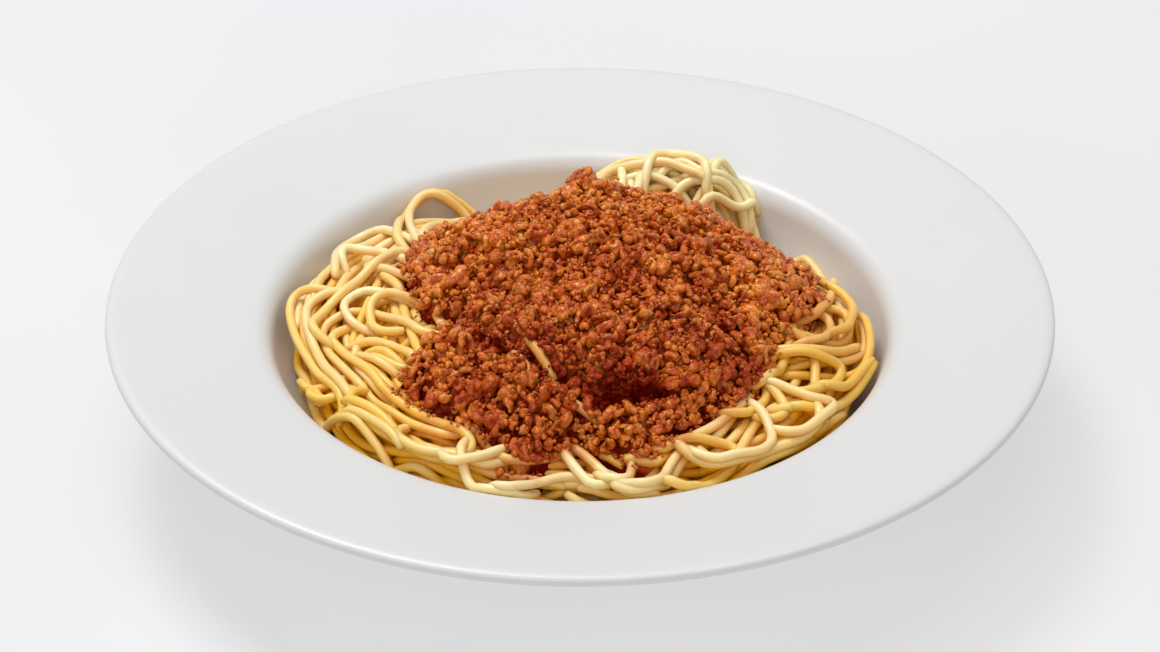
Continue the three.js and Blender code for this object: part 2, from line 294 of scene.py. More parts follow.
@dataclass(frozen=True)
class HeapForm:
    """The bare heap of spaghetti: edge + (crown - edge) * (1 - (r / R)^roundness) + bells."""

    radius: float = 84.0
    edge_height: float = 31.0
    crown_height: float = 48.0
    roundness: float = 2.2
    bells: tuple[Bell, ...] = (
        Bell(33, 71, 17, 10.5, 18),
        Bell(9, 67, 11, 12, 12),
        Bell(-11, 73, 24, 15, -12),
        Bell(54, 53, 15, 18, -13),
    )

    def height(self, x: Array, y: Array) -> Array:
        """Gives the bare heap's height.

        Args:
            x: X coordinates.
            y: Y coordinates.

        Returns:
            The heights.
        """
        share = np.minimum(np.hypot(x, y) / self.radius, 1.1)
        dome = (self.crown_height - self.edge_height) * (1 - share**self.roundness)
        return self.edge_height + dome + bells_at(self.bells, x, y)


@dataclass(frozen=True)
class Cleft:
    """A cleft between lobes of sauce: depth * exp(-(d / width)^2 / 2) at distance d from its line."""

    points: tuple[tuple[float, float], ...]
    width: float
    depth: float

    def at(self, x: Array, y: Array) -> Array:
        """Gives the cleft's depth.

        Args:
            x: X coordinates.
            y: Y coordinates.

        Returns:
            The depths, from the distance to the nearest stretch of the line.
        """
        away = np.full(np.shape(x), 1e3)
        for (x0, y0), (x1, y1) in zip(self.points, self.points[1:]):
            run = np.array([x1 - x0, y1 - y0])
            t = np.clip(((x - x0) * run[0] + (y - y0) * run[1]) / (run @ run), 0, 1)
            away = np.minimum(away, np.hypot(x - x0 - t * run[0], y - y0 - t * run[1]))
        return self.depth * np.exp(-((away / self.width) ** 2) / 2)


@dataclass(frozen=True)
class MoundForm:
    """The mound of meat sauce: its outline and its height over the bare heap.

    Each nick in the outline is (angle, width, amount), in degrees and millimetres.
    """

    centre: tuple[float, float] = (5.0, -8.0)
    radii: tuple[float, ...] = (
        60, 67, 67, 66, 61, 57, 56, 55, 53, 59, 64, 56, 50, 47, 62, 64, 63, 69, 62, 64, 57, 56, 54, 53,
    )  # fmt: skip
    nicks: tuple[tuple[float, float, float], ...] = (
        (195, 6, -8), (209, 3, 3), (255, 3, 3), (262.5, 3.5, -4), (280, 3, 4), (355, 2.5, -3),
    )  # fmt: skip
    raggedness: float = 1.3
    edge_thickness: float = 2.2
    thickness: float = 9.2
    edge_power: float = 5.0
    ridge: Bell = Bell(14, 30, 29, 16, 4.2)
    peak: Bell = Bell(0, 36.5, 3.3, 2.8, 6.5)
    clefts: tuple[Cleft, ...] = (
        Cleft(((-36, -22), (-24, -34), (-9, -49), (4, -56)), 2.6, 5.5),
        Cleft(((4, -56), (20, -55)), 2.8, 8.5),
        Cleft(((48, -38), (38, -24), (31, -10)), 2.6, 5.0),
        Cleft(((-34, 2), (-24, -16), (-27, -30)), 2.6, 3.0),
    )

    def outline(self, angle: Array) -> Array:
        """Gives the outline's radius: a Catmull-Rom curve through the radii, with the nicks and waves.

        Args:
            angle: Angles about the mound's centre, in radians.

        Returns:
            The radii.
        """
        r = np.array(self.radii)
        place = (angle / (2 * np.pi)) % 1.0 * len(r)
        k = np.floor(place).astype(int)
        curve = catmull_rom(*(r[(k + i) % len(r)] for i in (-1, 0, 1, 2)), place - k)
        curve = add_bumps(curve, angle, self.nicks)
        return curve + self.raggedness * waves(60 * np.cos(angle), 60 * np.sin(angle), 13, 5)

    def share(self, x: Array, y: Array) -> Array:
        """Tells how far out points lie: 0 at the mound's centre, 1 on its outline."""
        dx, dy = x - self.centre[0], y - self.centre[1]
        return np.hypot(dx, dy) / self.outline(np.arctan2(dy, dx))

    def cleft_depth(self, x: Array, y: Array) -> Array:
        """Gives the depth of the deepest cleft at points."""
        return np.max([cleft.at(x, y) for cleft in self.clefts], axis=0)

    def over_heap(self, x: Array, y: Array) -> Array:
        """Gives the mound's smooth thickness over the bare heap: the edge, the body and the peak.

        Args:
            x: X coordinates.
            y: Y coordinates.

        Returns:
            The thicknesses.
        """
        edge = 1 - np.minimum(self.share(x, y), 1) ** self.edge_power
        body = edge * (self.thickness + self.ridge.at(x, y) - self.cleft_depth(x, y))
        return self.edge_thickness + body + self.peak.at(x, y)


PLATE = PlateForm()
HEAP = HeapForm()
MOUND = MoundForm()


# The camera, which also places strands by their pixels


@dataclass(frozen=True)
class ViewPoint:
    """Where the photograph was taken from, in its own pixels and the plate's millimetres."""

    width: int = 1160
    height: int = 652
    focal: float = 3554.76
    distance: float = 1000.0
    elevation: float = 33.0
    target: tuple[float, float, float] = (0.0, -17.8, 46.0)
    sensor: float = 36.0
    tried_heights: tuple[float, float, float] = (78.0, 8.0, -0.25)

    @property
    def back(self) -> Array:
        """The unit vector from the target to the camera."""
        lift = np.radians(self.elevation)
        return np.array([0.0, -np.cos(lift), np.sin(lift)])

    @property
    def position(self) -> Array:
        """The camera's place."""
        return np.array(self.target) + self.back * self.distance

    def ray(self, pixels: Array) -> Array:
        """Gives the directions that pixels look in.

        Args:
            pixels: Pixels of shape (n, 2), counted from the photo's top left corner.

        Returns:
            Directions of shape (n, 3), one unit deep.
        """
        up = np.cross(self.back, [1.0, 0.0, 0.0])
        across = (pixels[:, :1] - self.width / 2) / self.focal
        rise = (self.height / 2 - pixels[:, 1:]) / self.focal
        return across * [1.0, 0.0, 0.0] + rise * up - self.back

    def on_levels(self, pixels: Array, levels: Array) -> Array:
        """Gives the points where pixels' rays pass heights.

        Args:
            pixels: Pixels of shape (n, 2).
            levels: One height for each.

        Returns:
            Points of shape (n, 2), in plan.
        """
        ray = self.ray(pixels)
        depth = (levels - self.position[2]) / ray[:, 2]
        return (self.position + ray * depth[:, None])[:, :2]

    def on_surface(self, pixels: Array, surface: Callable[[Array, Array], Array]) -> tuple[Array, Array]:
        """Finds where pixels' rays first meet a surface, by trying heights from the top down.

        Args:
            pixels: Pixels of shape (n, 2).
            surface: Gives the surface's height at x and y.

        Returns:
            Points in plan of shape (n, 2), and their heights.
        """
        tries = np.arange(*self.tried_heights)
        flat = np.repeat(pixels, len(tries), axis=0)
        plan = self.on_levels(flat, np.tile(tries, len(pixels)))
        over = surface(plan[:, 0], plan[:, 1]).reshape(len(pixels), -1) >= tries
        first = np.argmax(over, axis=1)
        heights = tries[first]
        return self.on_levels(pixels, heights), heights


VIEW = ViewPoint()


# Meshes


@dataclass
class MeshData:
    """Vertices, faces and per-vertex values that are gathered before they become one piece."""

    vertices: list[Array] = field(default_factory=list)
    faces: list[Array] = field(default_factory=list)
    values: dict[str, list[Array]] = field(default_factory=dict)
    count: int = 0

    def add(self, vertices: Array, faces: list[Array], **values: Array | float) -> None:
        """Adds one body.

        Args:
            vertices: Points of shape (n, 3), in millimetres.
            faces: Arrays of corner numbers, of shape (m, 3) or (m, 4).
            **values: Per-vertex values by attribute name.
        """
        self.vertices.append(vertices)
        self.faces += [f + self.count for f in faces]
        for name, value in values.items():
            spread = np.broadcast_to(np.asarray(value, float), (len(vertices),))
            self.values.setdefault(name, []).append(spread)
        self.count += len(vertices)

    def triangles(self) -> int:
        """Counts the triangles that the faces make."""
        return sum(len(f) * (f.shape[1] - 2) for f in self.faces)


def linked(name: str, data: bpy.types.ID) -> bpy.types.Object:
    """Makes an object of a mesh, a light or a camera and links it to the scene."""
    item = bpy.data.objects.new(name, data)
    bpy.context.scene.collection.objects.link(item)
    return item


def mesh_piece(
    name: str, data: MeshData, material: bpy.types.Material, node: str
) -> bpy.types.Object:
    """Makes a smooth piece of gathered bodies that stands for a node and rides on the root.

    Args:
        name: The piece's name.
        data: Its bodies, in millimetres.
        material: Its finish.
        node: The node that it replaces.

    Returns:
        The new object, at the origin.
    """
    mesh = bpy.data.meshes.new(name)
    faces = [row for part in data.faces for row in part.tolist()]
    mesh.from_pydata(np.vstack(data.vertices) * MM, [], faces)
    mesh.polygons.foreach_set("use_smooth", np.ones(len(faces), bool))
    for key, parts in data.values.items():
        attribute = mesh.attributes.new(key, "FLOAT", "POINT")
        attribute.data.foreach_set("value", np.concatenate(parts).astype(np.float32))
    mesh.update()
    mesh.materials.append(material)
    piece = linked(name, mesh)
    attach(piece, "root")
    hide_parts(node)
    log.info("%s: %d vertices, %d triangles", name, data.count, data.triangles())
    return piece


def ring_faces(rings: int, sides: int) -> Array:
    """Gives the quads between rings of vertices that lie one after another.

    Args:
        rings: How many rings there are.
        sides: How many vertices each ring has.

    Returns:
        An array of shape ((rings - 1) * sides, 4).
    """
    i, j = np.meshgrid(np.arange(rings - 1), np.arange(sides), indexing="ij")
    nxt = (j + 1) % sides
    quads = np.stack([i * sides + j, i * sides + nxt, (i + 1) * sides + nxt, (i + 1) * sides + j], -1)
    return quads.reshape(-1, 4)


def fan_faces(pole: int, first: int, sides: int, turned: bool) -> Array:
    """Gives the triangles from a pole to a ring of vertices.

    Args:
        pole: The pole's number.
        first: The number of the ring's first vertex.
        sides: How many vertices the ring has.
        turned: Whether the triangles face the other way.

    Returns:
        An array of shape (sides, 3).
    """
    j = np.arange(sides)
    fan = np.stack([np.full(sides, pole), first + j, first + (j + 1) % sides], -1)
    return fan[:, ::-1] if turned else fan


def closed_faces(rings: int, sides: int, turned: bool) -> list[Array]:
    """Gives the faces of a body of rings that ends in a pole at each side, its last two vertices.

    Args:
        rings: How many rings there are.
        sides: How many vertices each ring has.
        turned: Whether the faces between the rings face the other way.

    Returns:
        The quads between the rings and the triangles at both ends.
    """
    count = rings * sides
    quads = ring_faces(rings, sides)
    first = fan_faces(count, 0, sides, not turned)
    last = fan_faces(count + 1, count - sides, sides, turned)
    return [quads[:, ::-1] if turned else quads, first, last]


def lathe(profile: Array, sides: int) -> tuple[Array, list[Array]]:
    """Turns a profile about the Z axis: (r, z) becomes (r cos a, r sin a, z) for angles a.

    Args:
        profile: Points from the axis, round the body's outside, to the axis, the bottom first.
        sides: How many steps the turn has.

    Returns:
        Vertices and faces of a closed body.
    """
    angle = 2 * np.pi * np.arange(sides) / sides
    inner = profile[1:-1]
    radius = inner[:, 0][:, None]
    grid = np.stack([radius * np.cos(angle), radius * np.sin(angle), np.repeat(inner[:, 1:], sides, 1)], -1)
    poles = np.array([[0, 0, profile[0, 1]], [0, 0, profile[-1, 1]]])
    return np.vstack([grid.reshape(-1, 3), poles]), closed_faces(len(inner), sides, False)


def tube(path: Array, radius: Array, sides: int) -> tuple[Array, list[Array]]:
    """Carries a circle along a path: p + r (cos a * side + sin a * top), with rounded ends.

    side is the level direction across the path and top is square to both, so no ring twists.

    Args:
        path: Points of shape (n, 3).
        radius: The radius at each point.
        sides: How many corners the circle has.

    Returns:
        Vertices and faces of a closed body.
    """
    ahead = np.gradient(path, axis=0)
    ahead /= np.linalg.norm(ahead, axis=1, keepdims=True)
    side = np.cross(ahead, [0.0, 0.0, 1.0])
    side /= np.maximum(np.linalg.norm(side, axis=1, keepdims=True), 1e-6)
    top = np.cross(side, ahead)
    angle = 2 * np.pi * np.arange(sides) / sides
    around = np.cos(angle)[None, :, None] * side[:, None] + np.sin(angle)[None, :, None] * top[:, None]
    rings = path[:, None] + radius[:, None, None] * around
    tips = np.vstack([path[0] - 0.25 * radius[0] * ahead[0], path[-1] + 0.25 * radius[-1] * ahead[-1]])
    return np.vstack([rings.reshape(-1, 3), tips]), closed_faces(len(path), sides, True)


def hex_disc(rings: int) -> tuple[Array, Array, Array]:
    """Lays points on a unit disc: ring k holds 6k points at radius k / rings.

    Args:
        rings: How many rings there are.

    Returns:
        Radii, angles and triangles that face up.
    """
    k = np.repeat(np.arange(rings + 1), np.maximum(6 * np.arange(rings + 1), 1))
    first = np.where(k > 0, 1 + 3 * k * (k - 1), 0)
    j = np.arange(len(k)) - first
    angle = 2 * np.pi * j / np.maximum(6 * k, 1)
    kk = k[1:]
    side, step = np.divmod(j[1:], kk)
    start_in = np.where(kk > 1, 1 + 3 * (kk - 1) * (kk - 2), 0)
    span_in = np.maximum(6 * (kk - 1), 1)
    outer = first[1:] + j[1:]
    outer_next = first[1:] + (j[1:] + 1) % (6 * kk)
    inner = start_in + (side * (kk - 1) + step) % span_in
    inner_next = start_in + (side * (kk - 1) + step + 1) % span_in
    full = np.stack([inner, outer, outer_next], -1)
    more = np.stack([inner, outer_next, inner_next], -1)[step < kk - 1]
    return k / rings, angle, np.vstack([full, more])


# What is laid so far


@dataclass
class Field:
    """Heights of what is laid so far, on a square grid over the well."""

    reach: float = 97.0
    cell: float = 0.4
    heights: Array = field(init=False)

    def __post_init__(self) -> None:
        """Starts with the plate alone."""
        x, y = self.grid()
        self.heights = PLATE.inner_height(np.hypot(x, y))

    def grid(self) -> tuple[Array, Array]:
        """Gives the cells' centres."""
        line = np.arange(-self.reach, self.reach + self.cell / 2, self.cell)
        return np.meshgrid(line, line, indexing="ij")

    def cells(self, x: Array, y: Array) -> tuple[Array, Array]:
        """Gives the cells that hold points.

        Args:
            x: X coordinates.
            y: Y coordinates.

        Returns:
            The cells' row and column numbers.
        """
        last = self.heights.shape[0] - 1
        i = np.clip(np.rint((x + self.reach) / self.cell).astype(int), 0, last)
        j = np.clip(np.rint((y + self.reach) / self.cell).astype(int), 0, last)
        return i, j

    def at(self, x: Array, y: Array) -> Array:
        """Gives the height at points."""
        return self.heights[self.cells(x, y)]

    def raise_to(self, heights: Array) -> None:
        """Raises every cell to at least the given height."""
        self.heights = np.maximum(self.heights, heights)

    def footprint(self, radius: float) -> tuple[Array, Array, Array]:
        """Gives the cells under a ball: it bulges by sqrt(radius^2 - dx^2 - dy^2) there.

        Args:
            radius: The ball's radius.

        Returns:
            Offsets in x and y from its centre, and the bulge at each.
        """
        n = int(np.ceil(radius / self.cell))
        line = np.arange(-n, n + 1) * self.cell
        dx, dy = (a.ravel() for a in np.meshgrid(line, line, indexing="ij"))
        rise = radius**2 - dx**2 - dy**2
        inside = rise > 0
        return dx[inside], dy[inside], np.sqrt(rise[inside])

    def support(self, x: Array, y: Array, radius: float) -> Array:
        """Gives the lowest heights at which balls rest: the most of field + bulge under each."""
        dx, dy, bulge = self.footprint(radius)
        return (self.at(x[:, None] + dx, y[:, None] + dy) + bulge).max(axis=1)

    def stamp(self, x: Array, y: Array, z: Array, radius: float) -> None:
        """Raises the field to balls.

        Args:
            x: X coordinates of the centres.
            y: Y coordinates.
            z: Heights.
            radius: The balls' radius.
        """
        dx, dy, bulge = self.footprint(radius)
        cells = self.cells((x[:, None] + dx).ravel(), (y[:, None] + dy).ravel())
        np.maximum.at(self.heights, cells, (z[:, None] + bulge).ravel())

    def level(self, size: float) -> Array:
        """Gives the heights averaged over squares, by running sums along both axes.

        Args:
            size: The squares' side.

        Returns:
            The averages, on the same grid.
        """
        n = max(int(size / self.cell) // 2, 1)
        out = self.heights
        for axis in (0, 1):
            pad = [(n + 1, n) if k == axis else (0, 0) for k in (0, 1)]
            total = np.cumsum(np.pad(out, pad, mode="edge"), axis=axis)
            take = [slice(None), slice(None)]
            give = [slice(None), slice(None)]
            take[axis] = slice(2 * n + 1, None)
            give[axis] = slice(None, -(2 * n + 1))
            out = (total[tuple(take)] - total[tuple(give)]) / (2 * n + 1)
        return out


# Finishes


def add_node(tree: bpy.types.NodeTree, kind: str, inputs: Inputs, **options: str | bool) -> bpy.types.Node:
    """Adds a node to a tree.

    Args:
        tree: The tree.
        kind: The node's type, without the ShaderNode that it starts with.
        inputs: A socket to link, or a value, for each input, by its name or number.
        **options: The node's own settings.

    Returns:
        The node.
    """
    node = tree.nodes.new("ShaderNode" + kind)
    for key, option in options.items():
        setattr(node, key, option)
    for key, value in inputs.items():
        socket = node.inputs[key]
        if isinstance(value, Socket):
            tree.links.new(value, socket)
        elif isinstance(value, tuple):
            socket.default_value = (*value, 1.0)[: len(socket.default_value)]
        else:
            socket.default_value = value
    return node


def node_group(name: str, inputs: dict[str, float | None], result: str) -> bpy.types.NodeTree:
    """Makes an empty shader group with named sockets.

    Args:
        name: The group's name.
        inputs: Socket names and default values; None makes a vector socket.
        result: The name of its one output.

    Returns:
        The group's tree.
    """
    tree = bpy.data.node_groups.new(name, "ShaderNodeTree")
    for key, value in inputs.items():
        kind = "NodeSocketVector" if value is None else "NodeSocketFloat"
        socket = tree.interface.new_socket(key, in_out="INPUT", socket_type=kind)
        if value is not None:
            socket.default_value = value
    tree.interface.new_socket(result, in_out="OUTPUT", socket_type="NodeSocketFloat")
    tree.nodes.new("NodeGroupInput")
    tree.nodes.new("NodeGroupOutput")
    return tree


def mottle_group() -> bpy.types.NodeTree:
    """Makes the group for cloudy patches: noise spread between Low and High, from 0 to 1.

    Returns:
        The group's tree.
    """
    tree = node_group("Mottle", {"Vector": None, "Scale": 100.0, "Low": 0.35, "High": 0.65}, "Mask")
    given = tree.nodes["Group Input"].outputs
    noise = add_node(tree, "TexNoise", {"Vector": given["Vector"], "Scale": given["Scale"], "Detail": 3.0})
    limits = {"Value": noise.outputs["Fac"], "From Min": given["Low"], "From Max": given["High"]}
    spread = add_node(tree, "MapRange", limits)
    tree.links.new(spread.outputs["Result"], tree.nodes["Group Output"].inputs["Mask"])
    return tree


def grain_group() -> bpy.types.NodeTree:
    """Makes the group for fine relief: coarse and fine noise, weighed by Fineness.

    Returns:
        The group's tree.
    """
    tree = node_group("Fine Grain", {"Vector": None, "Scale": 1000.0, "Fineness": 0.4}, "Height")
    given = tree.nodes["Group Input"].outputs
    closer = add_node(tree, "Math", {0: given["Scale"], 1: 3.1}, operation="MULTIPLY")
    shares = {"Factor": given["Fineness"]}
    for key, scale in (("A", given["Scale"]), ("B", closer.outputs[0])):
        noise = add_node(tree, "TexNoise", {"Vector": given["Vector"], "Scale": scale})
        shares[key] = noise.outputs["Fac"]
    mix = add_node(tree, "Mix", shares)
    tree.links.new(mix.outputs["Result"], tree.nodes["Group Output"].inputs["Height"])
    return tree


@dataclass
class Shader:
    """One material's node tree, with short ways to add what every finish here needs."""

    name: str
    groups: Groups
    material: bpy.types.Material = field(init=False)

    def __post_init__(self) -> None:
        """Makes the material with its Principled BSDF and object coordinates."""
        self.material = bpy.data.materials.new(self.name)
        self.material.use_nodes = True
        self.surface = self.material.node_tree.nodes["Principled BSDF"]
        self.place = self.node("TexCoord", {}).outputs["Object"]

    def node(self, kind: str, inputs: Inputs, **options: str | bool) -> bpy.types.Node:
        """Adds a node to the material, as add_node() does."""
        return add_node(self.material.node_tree, kind, inputs, **options)

    def set(self, **values: float | Colour) -> None:
        """Sets the shader's own sockets; an underscore in a name stands for a space."""
        for key, value in values.items():
            self.surface.inputs[key.replace("_", " ")].default_value = value

    def group(self, name: str, **values: float) -> Socket:
        """Places a shared group on object coordinates, with values for its inputs."""
        inputs = {"Vector": self.place, **values}
        return self.node("Group", inputs, node_tree=self.groups[name]).outputs[0]

    def attribute(self, name: str) -> Socket:
        """Reads a per-vertex value by its name."""
        return self.node("Attribute", {}, attribute_name=name).outputs["Fac"]

    def mix(self, factor: Socket, low: Socket | Colour, high: Socket | Colour) -> Socket:
        """Mixes two colours: a factor of 0 gives the low one and 1 the high one."""
        return self.node("Mix", {0: factor, 6: low, 7: high}, data_type="RGBA").outputs[2]

    def math(self, operation: str, a: Socket | float, b: Socket | float) -> Socket:
        """Works out an operation of two values, clamped from 0 to 1."""
        return self.node("Math", {0: a, 1: b}, operation=operation, use_clamp=True).outputs[0]

    def weighed(self, *parts: tuple[Socket, float]) -> Socket:
        """Adds values by weight, and clamps the sum.

        Args:
            *parts: The values and their weights.

        Returns:
            The sum.
        """
        total = self.math("MULTIPLY", *parts[0])
        for value, weight in parts[1:]:
            total = self.math("ADD", total, self.math("MULTIPLY", value, weight))
        return total

    def ramp(self, value: Socket, stops: list[tuple[float, Colour]]) -> Socket:
        """Turns a value into a colour.

        Args:
            value: The value, from 0 to 1.
            stops: Places along it and the linear colours there.

        Returns:
            The colour.
        """
        node = self.node("ValToRGB", {"Fac": value})
        elements = node.color_ramp.elements
        while len(elements) < len(stops):
            elements.new(0.5)
        for element, (place, colour) in zip(elements, stops):
            element.position = place
            element.color = (*colour, 1.0)
        return node.outputs["Color"]

    def feed(self, key: str, socket: Socket) -> None:
        """Links a socket to one of the shader's inputs."""
        self.material.node_tree.links.new(socket, self.surface.inputs[key])

    def bump(self, height: Socket, distance: float, strength: float) -> None:
        """Feeds the shader's normal from a height.

        Args:
            height: The height, from 0 to 1.
            distance: How high 1 is, in millimetres.
            strength: How strongly it shows.
        """
        inputs = {"Distance": distance * MM, "Strength": strength, "Height": height}
        self.feed("Normal", self.node("Bump", inputs).outputs["Normal"])


@dataclass(frozen=True)
class PorcelainFinish:
    """White porcelain under a clear, slightly wavy glaze."""

    light: Colour = (0.682, 0.69, 0.69)
    shade: Colour = (0.674, 0.682, 0.684)
    roughness: float = 0.38

    def make(self, groups: Groups) -> bpy.types.Material:
        """Builds the material.

        Args:
            groups: The shared shader groups.

        Returns:
            The material.
        """
        shader = Shader("glazed_porcelain", groups)
        shader.set(Roughness=self.roughness, IOR=1.5)
        shader.set(Coat_Weight=0.07, Coat_Roughness=0.25)
        cloud = shader.group("Mottle", Scale=22.0, Low=0.35, High=0.65)
        shader.feed("Base Color", shader.mix(cloud, self.shade, self.light))
        worn = shader.group("Mottle", Scale=60.0, Low=0.3, High=0.8)
        spread = shader.math("MULTIPLY", worn, 0.06)
        shader.feed("Roughness", shader.math("ADD", spread, self.roughness - 0.03))
        shader.bump(shader.group("Fine Grain", Scale=14.0, Fineness=0.0), 0.05, 0.2)
        return shader.material


@dataclass(frozen=True)
class PastaFinish:
    """Cooked wheat pasta, moist and a little oily, sauce-tinted near the sauce, with painted shade under
    and between noodles.
    """

    palest: Colour = (1.0, 0.91, 0.52)
    pale: Colour = (0.97, 0.74, 0.39)
    gold: Colour = (0.92, 0.59, 0.10)
    # Painted shade: the colour that noodle undersides and the gaps between noodles are painted in.
    painted_shade_amber: Colour = (0.92, 0.48, 0.005)
    stain: Colour = (0.66, 0.24, 0.045)
    roughness: float = 0.34

    def make(self, groups: Groups) -> bpy.types.Material:
        """Builds the material.

        Args:
            groups: The shared shader groups.

        Returns:
            The material.
        """
        shader = Shader("cooked_pasta", groups)
        shader.set(Roughness=self.roughness, IOR=1.4, Coat_Weight=0.15, Coat_Roughness=0.18)
        shader.set(Subsurface_Weight=0.3, Subsurface_Scale=0.002, Subsurface_Radius=(1.0, 0.62, 0.22))
        cloud = shader.group("Mottle", Scale=70.0, Low=0.3, High=0.7)
        # The tone is random per noodle and also carries painted light and painted shade, set by region.
        tone = shader.weighed((shader.attribute("tone"), 0.8), (cloud, 0.2))
        pasta = shader.ramp(tone, [(0.0, self.gold), (0.8, self.pale), (0.97, self.palest)])
        # Painted shade: the depth attribute paints the undersides and the gaps between noodles a deep
        # yellow-orange.
        pasta = shader.mix(shader.attribute("depth"), pasta, self.painted_shade_amber)
        oily = shader.group("Mottle", Scale=190.0, Low=0.3, High=0.62)
        # Sauce tint near the mound and in spots; in one spot it is partly painted shade.
        near = shader.attribute("sauce")
        stain_and_painted_shade = shader.math("MULTIPLY", near, shader.math("ADD", oily, near))
        shader.feed("Base Color", shader.mix(stain_and_painted_shade, pasta, self.stain))
        shader.bump(shader.group("Fine Grain", Scale=900.0, Fineness=0.4), 0.06, 0.35)
        return shader.material


@dataclass(frozen=True)
class MinceFinish:
    """Fine minced meat in oily tomato sauce, orange where oil lies, with painted shade in the crevices."""

    name: str = "meat_sauce"
    # Painted shade: the colour of the darkest crevices.
    deep: Colour = (0.15, 0.006, 0.001)
    red: Colour = (0.58, 0.056, 0.003)
    orange: Colour = (0.98, 0.315, 0.016)
    meat: Colour = (1.0, 0.54, 0.12)
    roughness: float = 0.28
    shake: float = 0.0014

    def make(self, groups: Groups) -> bpy.types.Material:
        """Builds the material.

        Args:
            groups: The shared shader groups.

        Returns:
            The material.
        """
        shader = Shader(self.name, groups)
        shader.set(IOR=1.42, Coat_Roughness=0.1)
        noise = shader.node("TexNoise", {"Vector": shader.place, "Scale": 650.0})
        shake = {0: noise.outputs["Color"], 1: (self.shake,) * 3, 2: shader.place}
        shaken = shader.node("VectorMath", shake, operation="MULTIPLY_ADD").outputs[0]
        big_gap, big_tone = self.grains(shader, shaken, 470.0)
        small_gap, small_tone = self.grains(shader, shaken, 1150.0)
        patches = shader.group("Mottle", Scale=170.0, Low=0.38, High=0.62)
        own = shader.attribute("tone")
        tone = shader.weighed((own, 0.3), (big_tone, 0.2), (small_tone, 0.1), (patches, 0.5))
        stops = [(0.15, self.red), (0.55, self.orange), (0.75, self.orange), (0.95, self.meat)]
        colour = shader.ramp(tone, stops)
        # Painted shade: the depth attribute, the gaps between grains and random darker patches darken the
        # colour to red, then to the darkest crevice colour, and lessen the coat and specular level there.
        dark_patches = shader.group("Mottle", Scale=85.0, Low=0.5, High=0.7)
        depth = shader.attribute("depth")
        painted_crease_shade = shader.weighed((depth, 0.8), (big_gap, 0.22), (small_gap, 0.1), (dark_patches, 0.3))
        reddened_in_shade = shader.mix(shader.math("MULTIPLY", painted_crease_shade, 1.35), colour, self.red)
        shader.feed("Base Color", shader.mix(shader.math("MULTIPLY", painted_crease_shade, painted_crease_shade), reddened_in_shade, self.deep))
        open_part = shader.math("SUBTRACT", 1.0, painted_crease_shade)
        shader.feed("Coat Weight", shader.math("MULTIPLY", open_part, 0.65))
        shader.feed("Specular IOR Level", shader.math("MULTIPLY", open_part, 0.5))
        wet_gloss_and_painted_shade = shader.group("Mottle", Scale=900.0, Low=0.3, High=0.7)
        spread = shader.math("MULTIPLY", wet_gloss_and_painted_shade, 0.25)
        shader.feed("Roughness", shader.math("ADD", spread, self.roughness - 0.12))
        fine = shader.group("Fine Grain", Scale=1700.0, Fineness=0.4)
        small_top, big_top = (shader.math("SUBTRACT", 1.0, gap) for gap in (small_gap, big_gap))
        height = shader.weighed((fine, 0.2), (small_top, 0.1), (big_top, 0.7))
        shader.bump(height, 1.3, 0.9)
        return shader.material

    def grains(self, shader: Shader, place: Socket, scale: float) -> list[Socket]:
        """Lays a Voronoi pattern of grains.

        Args:
            shader: The material that it is for.
            place: The coordinates.
            scale: How many grains lie in a metre.

        Returns:
            The gap between grains, from 0 on a grain to 1, and a value drawn for each grain.
        """
        cells = shader.node("TexVoronoi", {"Vector": place, "Scale": scale}).outputs
        gap = shader.node("MapRange", {"Value": cells["Distance"], "From Min": 0.25, "From Max": 0.8})
        drawn = shader.node("SeparateColor", {0: cells["Color"]})
        return [gap.outputs["Result"], drawn.outputs[0]]


@dataclass(frozen=True)
class TableFinish:
    """A plain pale table top that glows a little, so that the plate's shadow stays light."""

    light: Colour = (0.30, 0.302, 0.307)
    shade: Colour = (0.27, 0.272, 0.277)
    glow: float = 0.53

    def make(self, groups: Groups) -> bpy.types.Material:
        """Builds the material.

        Args:
            groups: The shared shader groups.

        Returns:
            The material.
        """
        shader = Shader("pale_table", groups)
        shader.set(Roughness=0.7, Emission_Strength=self.glow)
        cloud = shader.group("Mottle", Scale=2.2, Low=0.3, High=0.7)
        shader.feed("Base Color", shader.mix(cloud, self.shade, self.light))
        shader.feed("Emission Color", shader.mix(cloud, (0.93, 0.935, 0.95), (1.0, 1.0, 1.0)))
        return shader.material


# The plate


@dataclass
class Plate:
    """The wide-rimmed plate, turned from its profile."""

    form: PlateForm = PLATE
    sides: int = 256

    def build(self, material: bpy.types.Material) -> bpy.types.Object:
        """Turns the plate and dresses it.

        Args:
            material: The porcelain.

        Returns:
            The plate's piece.
        """
        profile = np.vstack([self.form.upper(), self.form.lower()[1:]])[::-1]
        data = MeshData()
        data.add(*lathe(profile, self.sides))
        return mesh_piece("porcelain_plate", data, material, "plate")


# The spaghetti


@dataclass(frozen=True)
class Strand:
    """A strand that shows on top, by its pixels in the photograph.

    With two hidden ends it runs on under others at both ends, with one only where its pixels start.
    """

    name: str
    pixels: tuple[tuple[int, int], ...]
    hidden_ends: int = 2


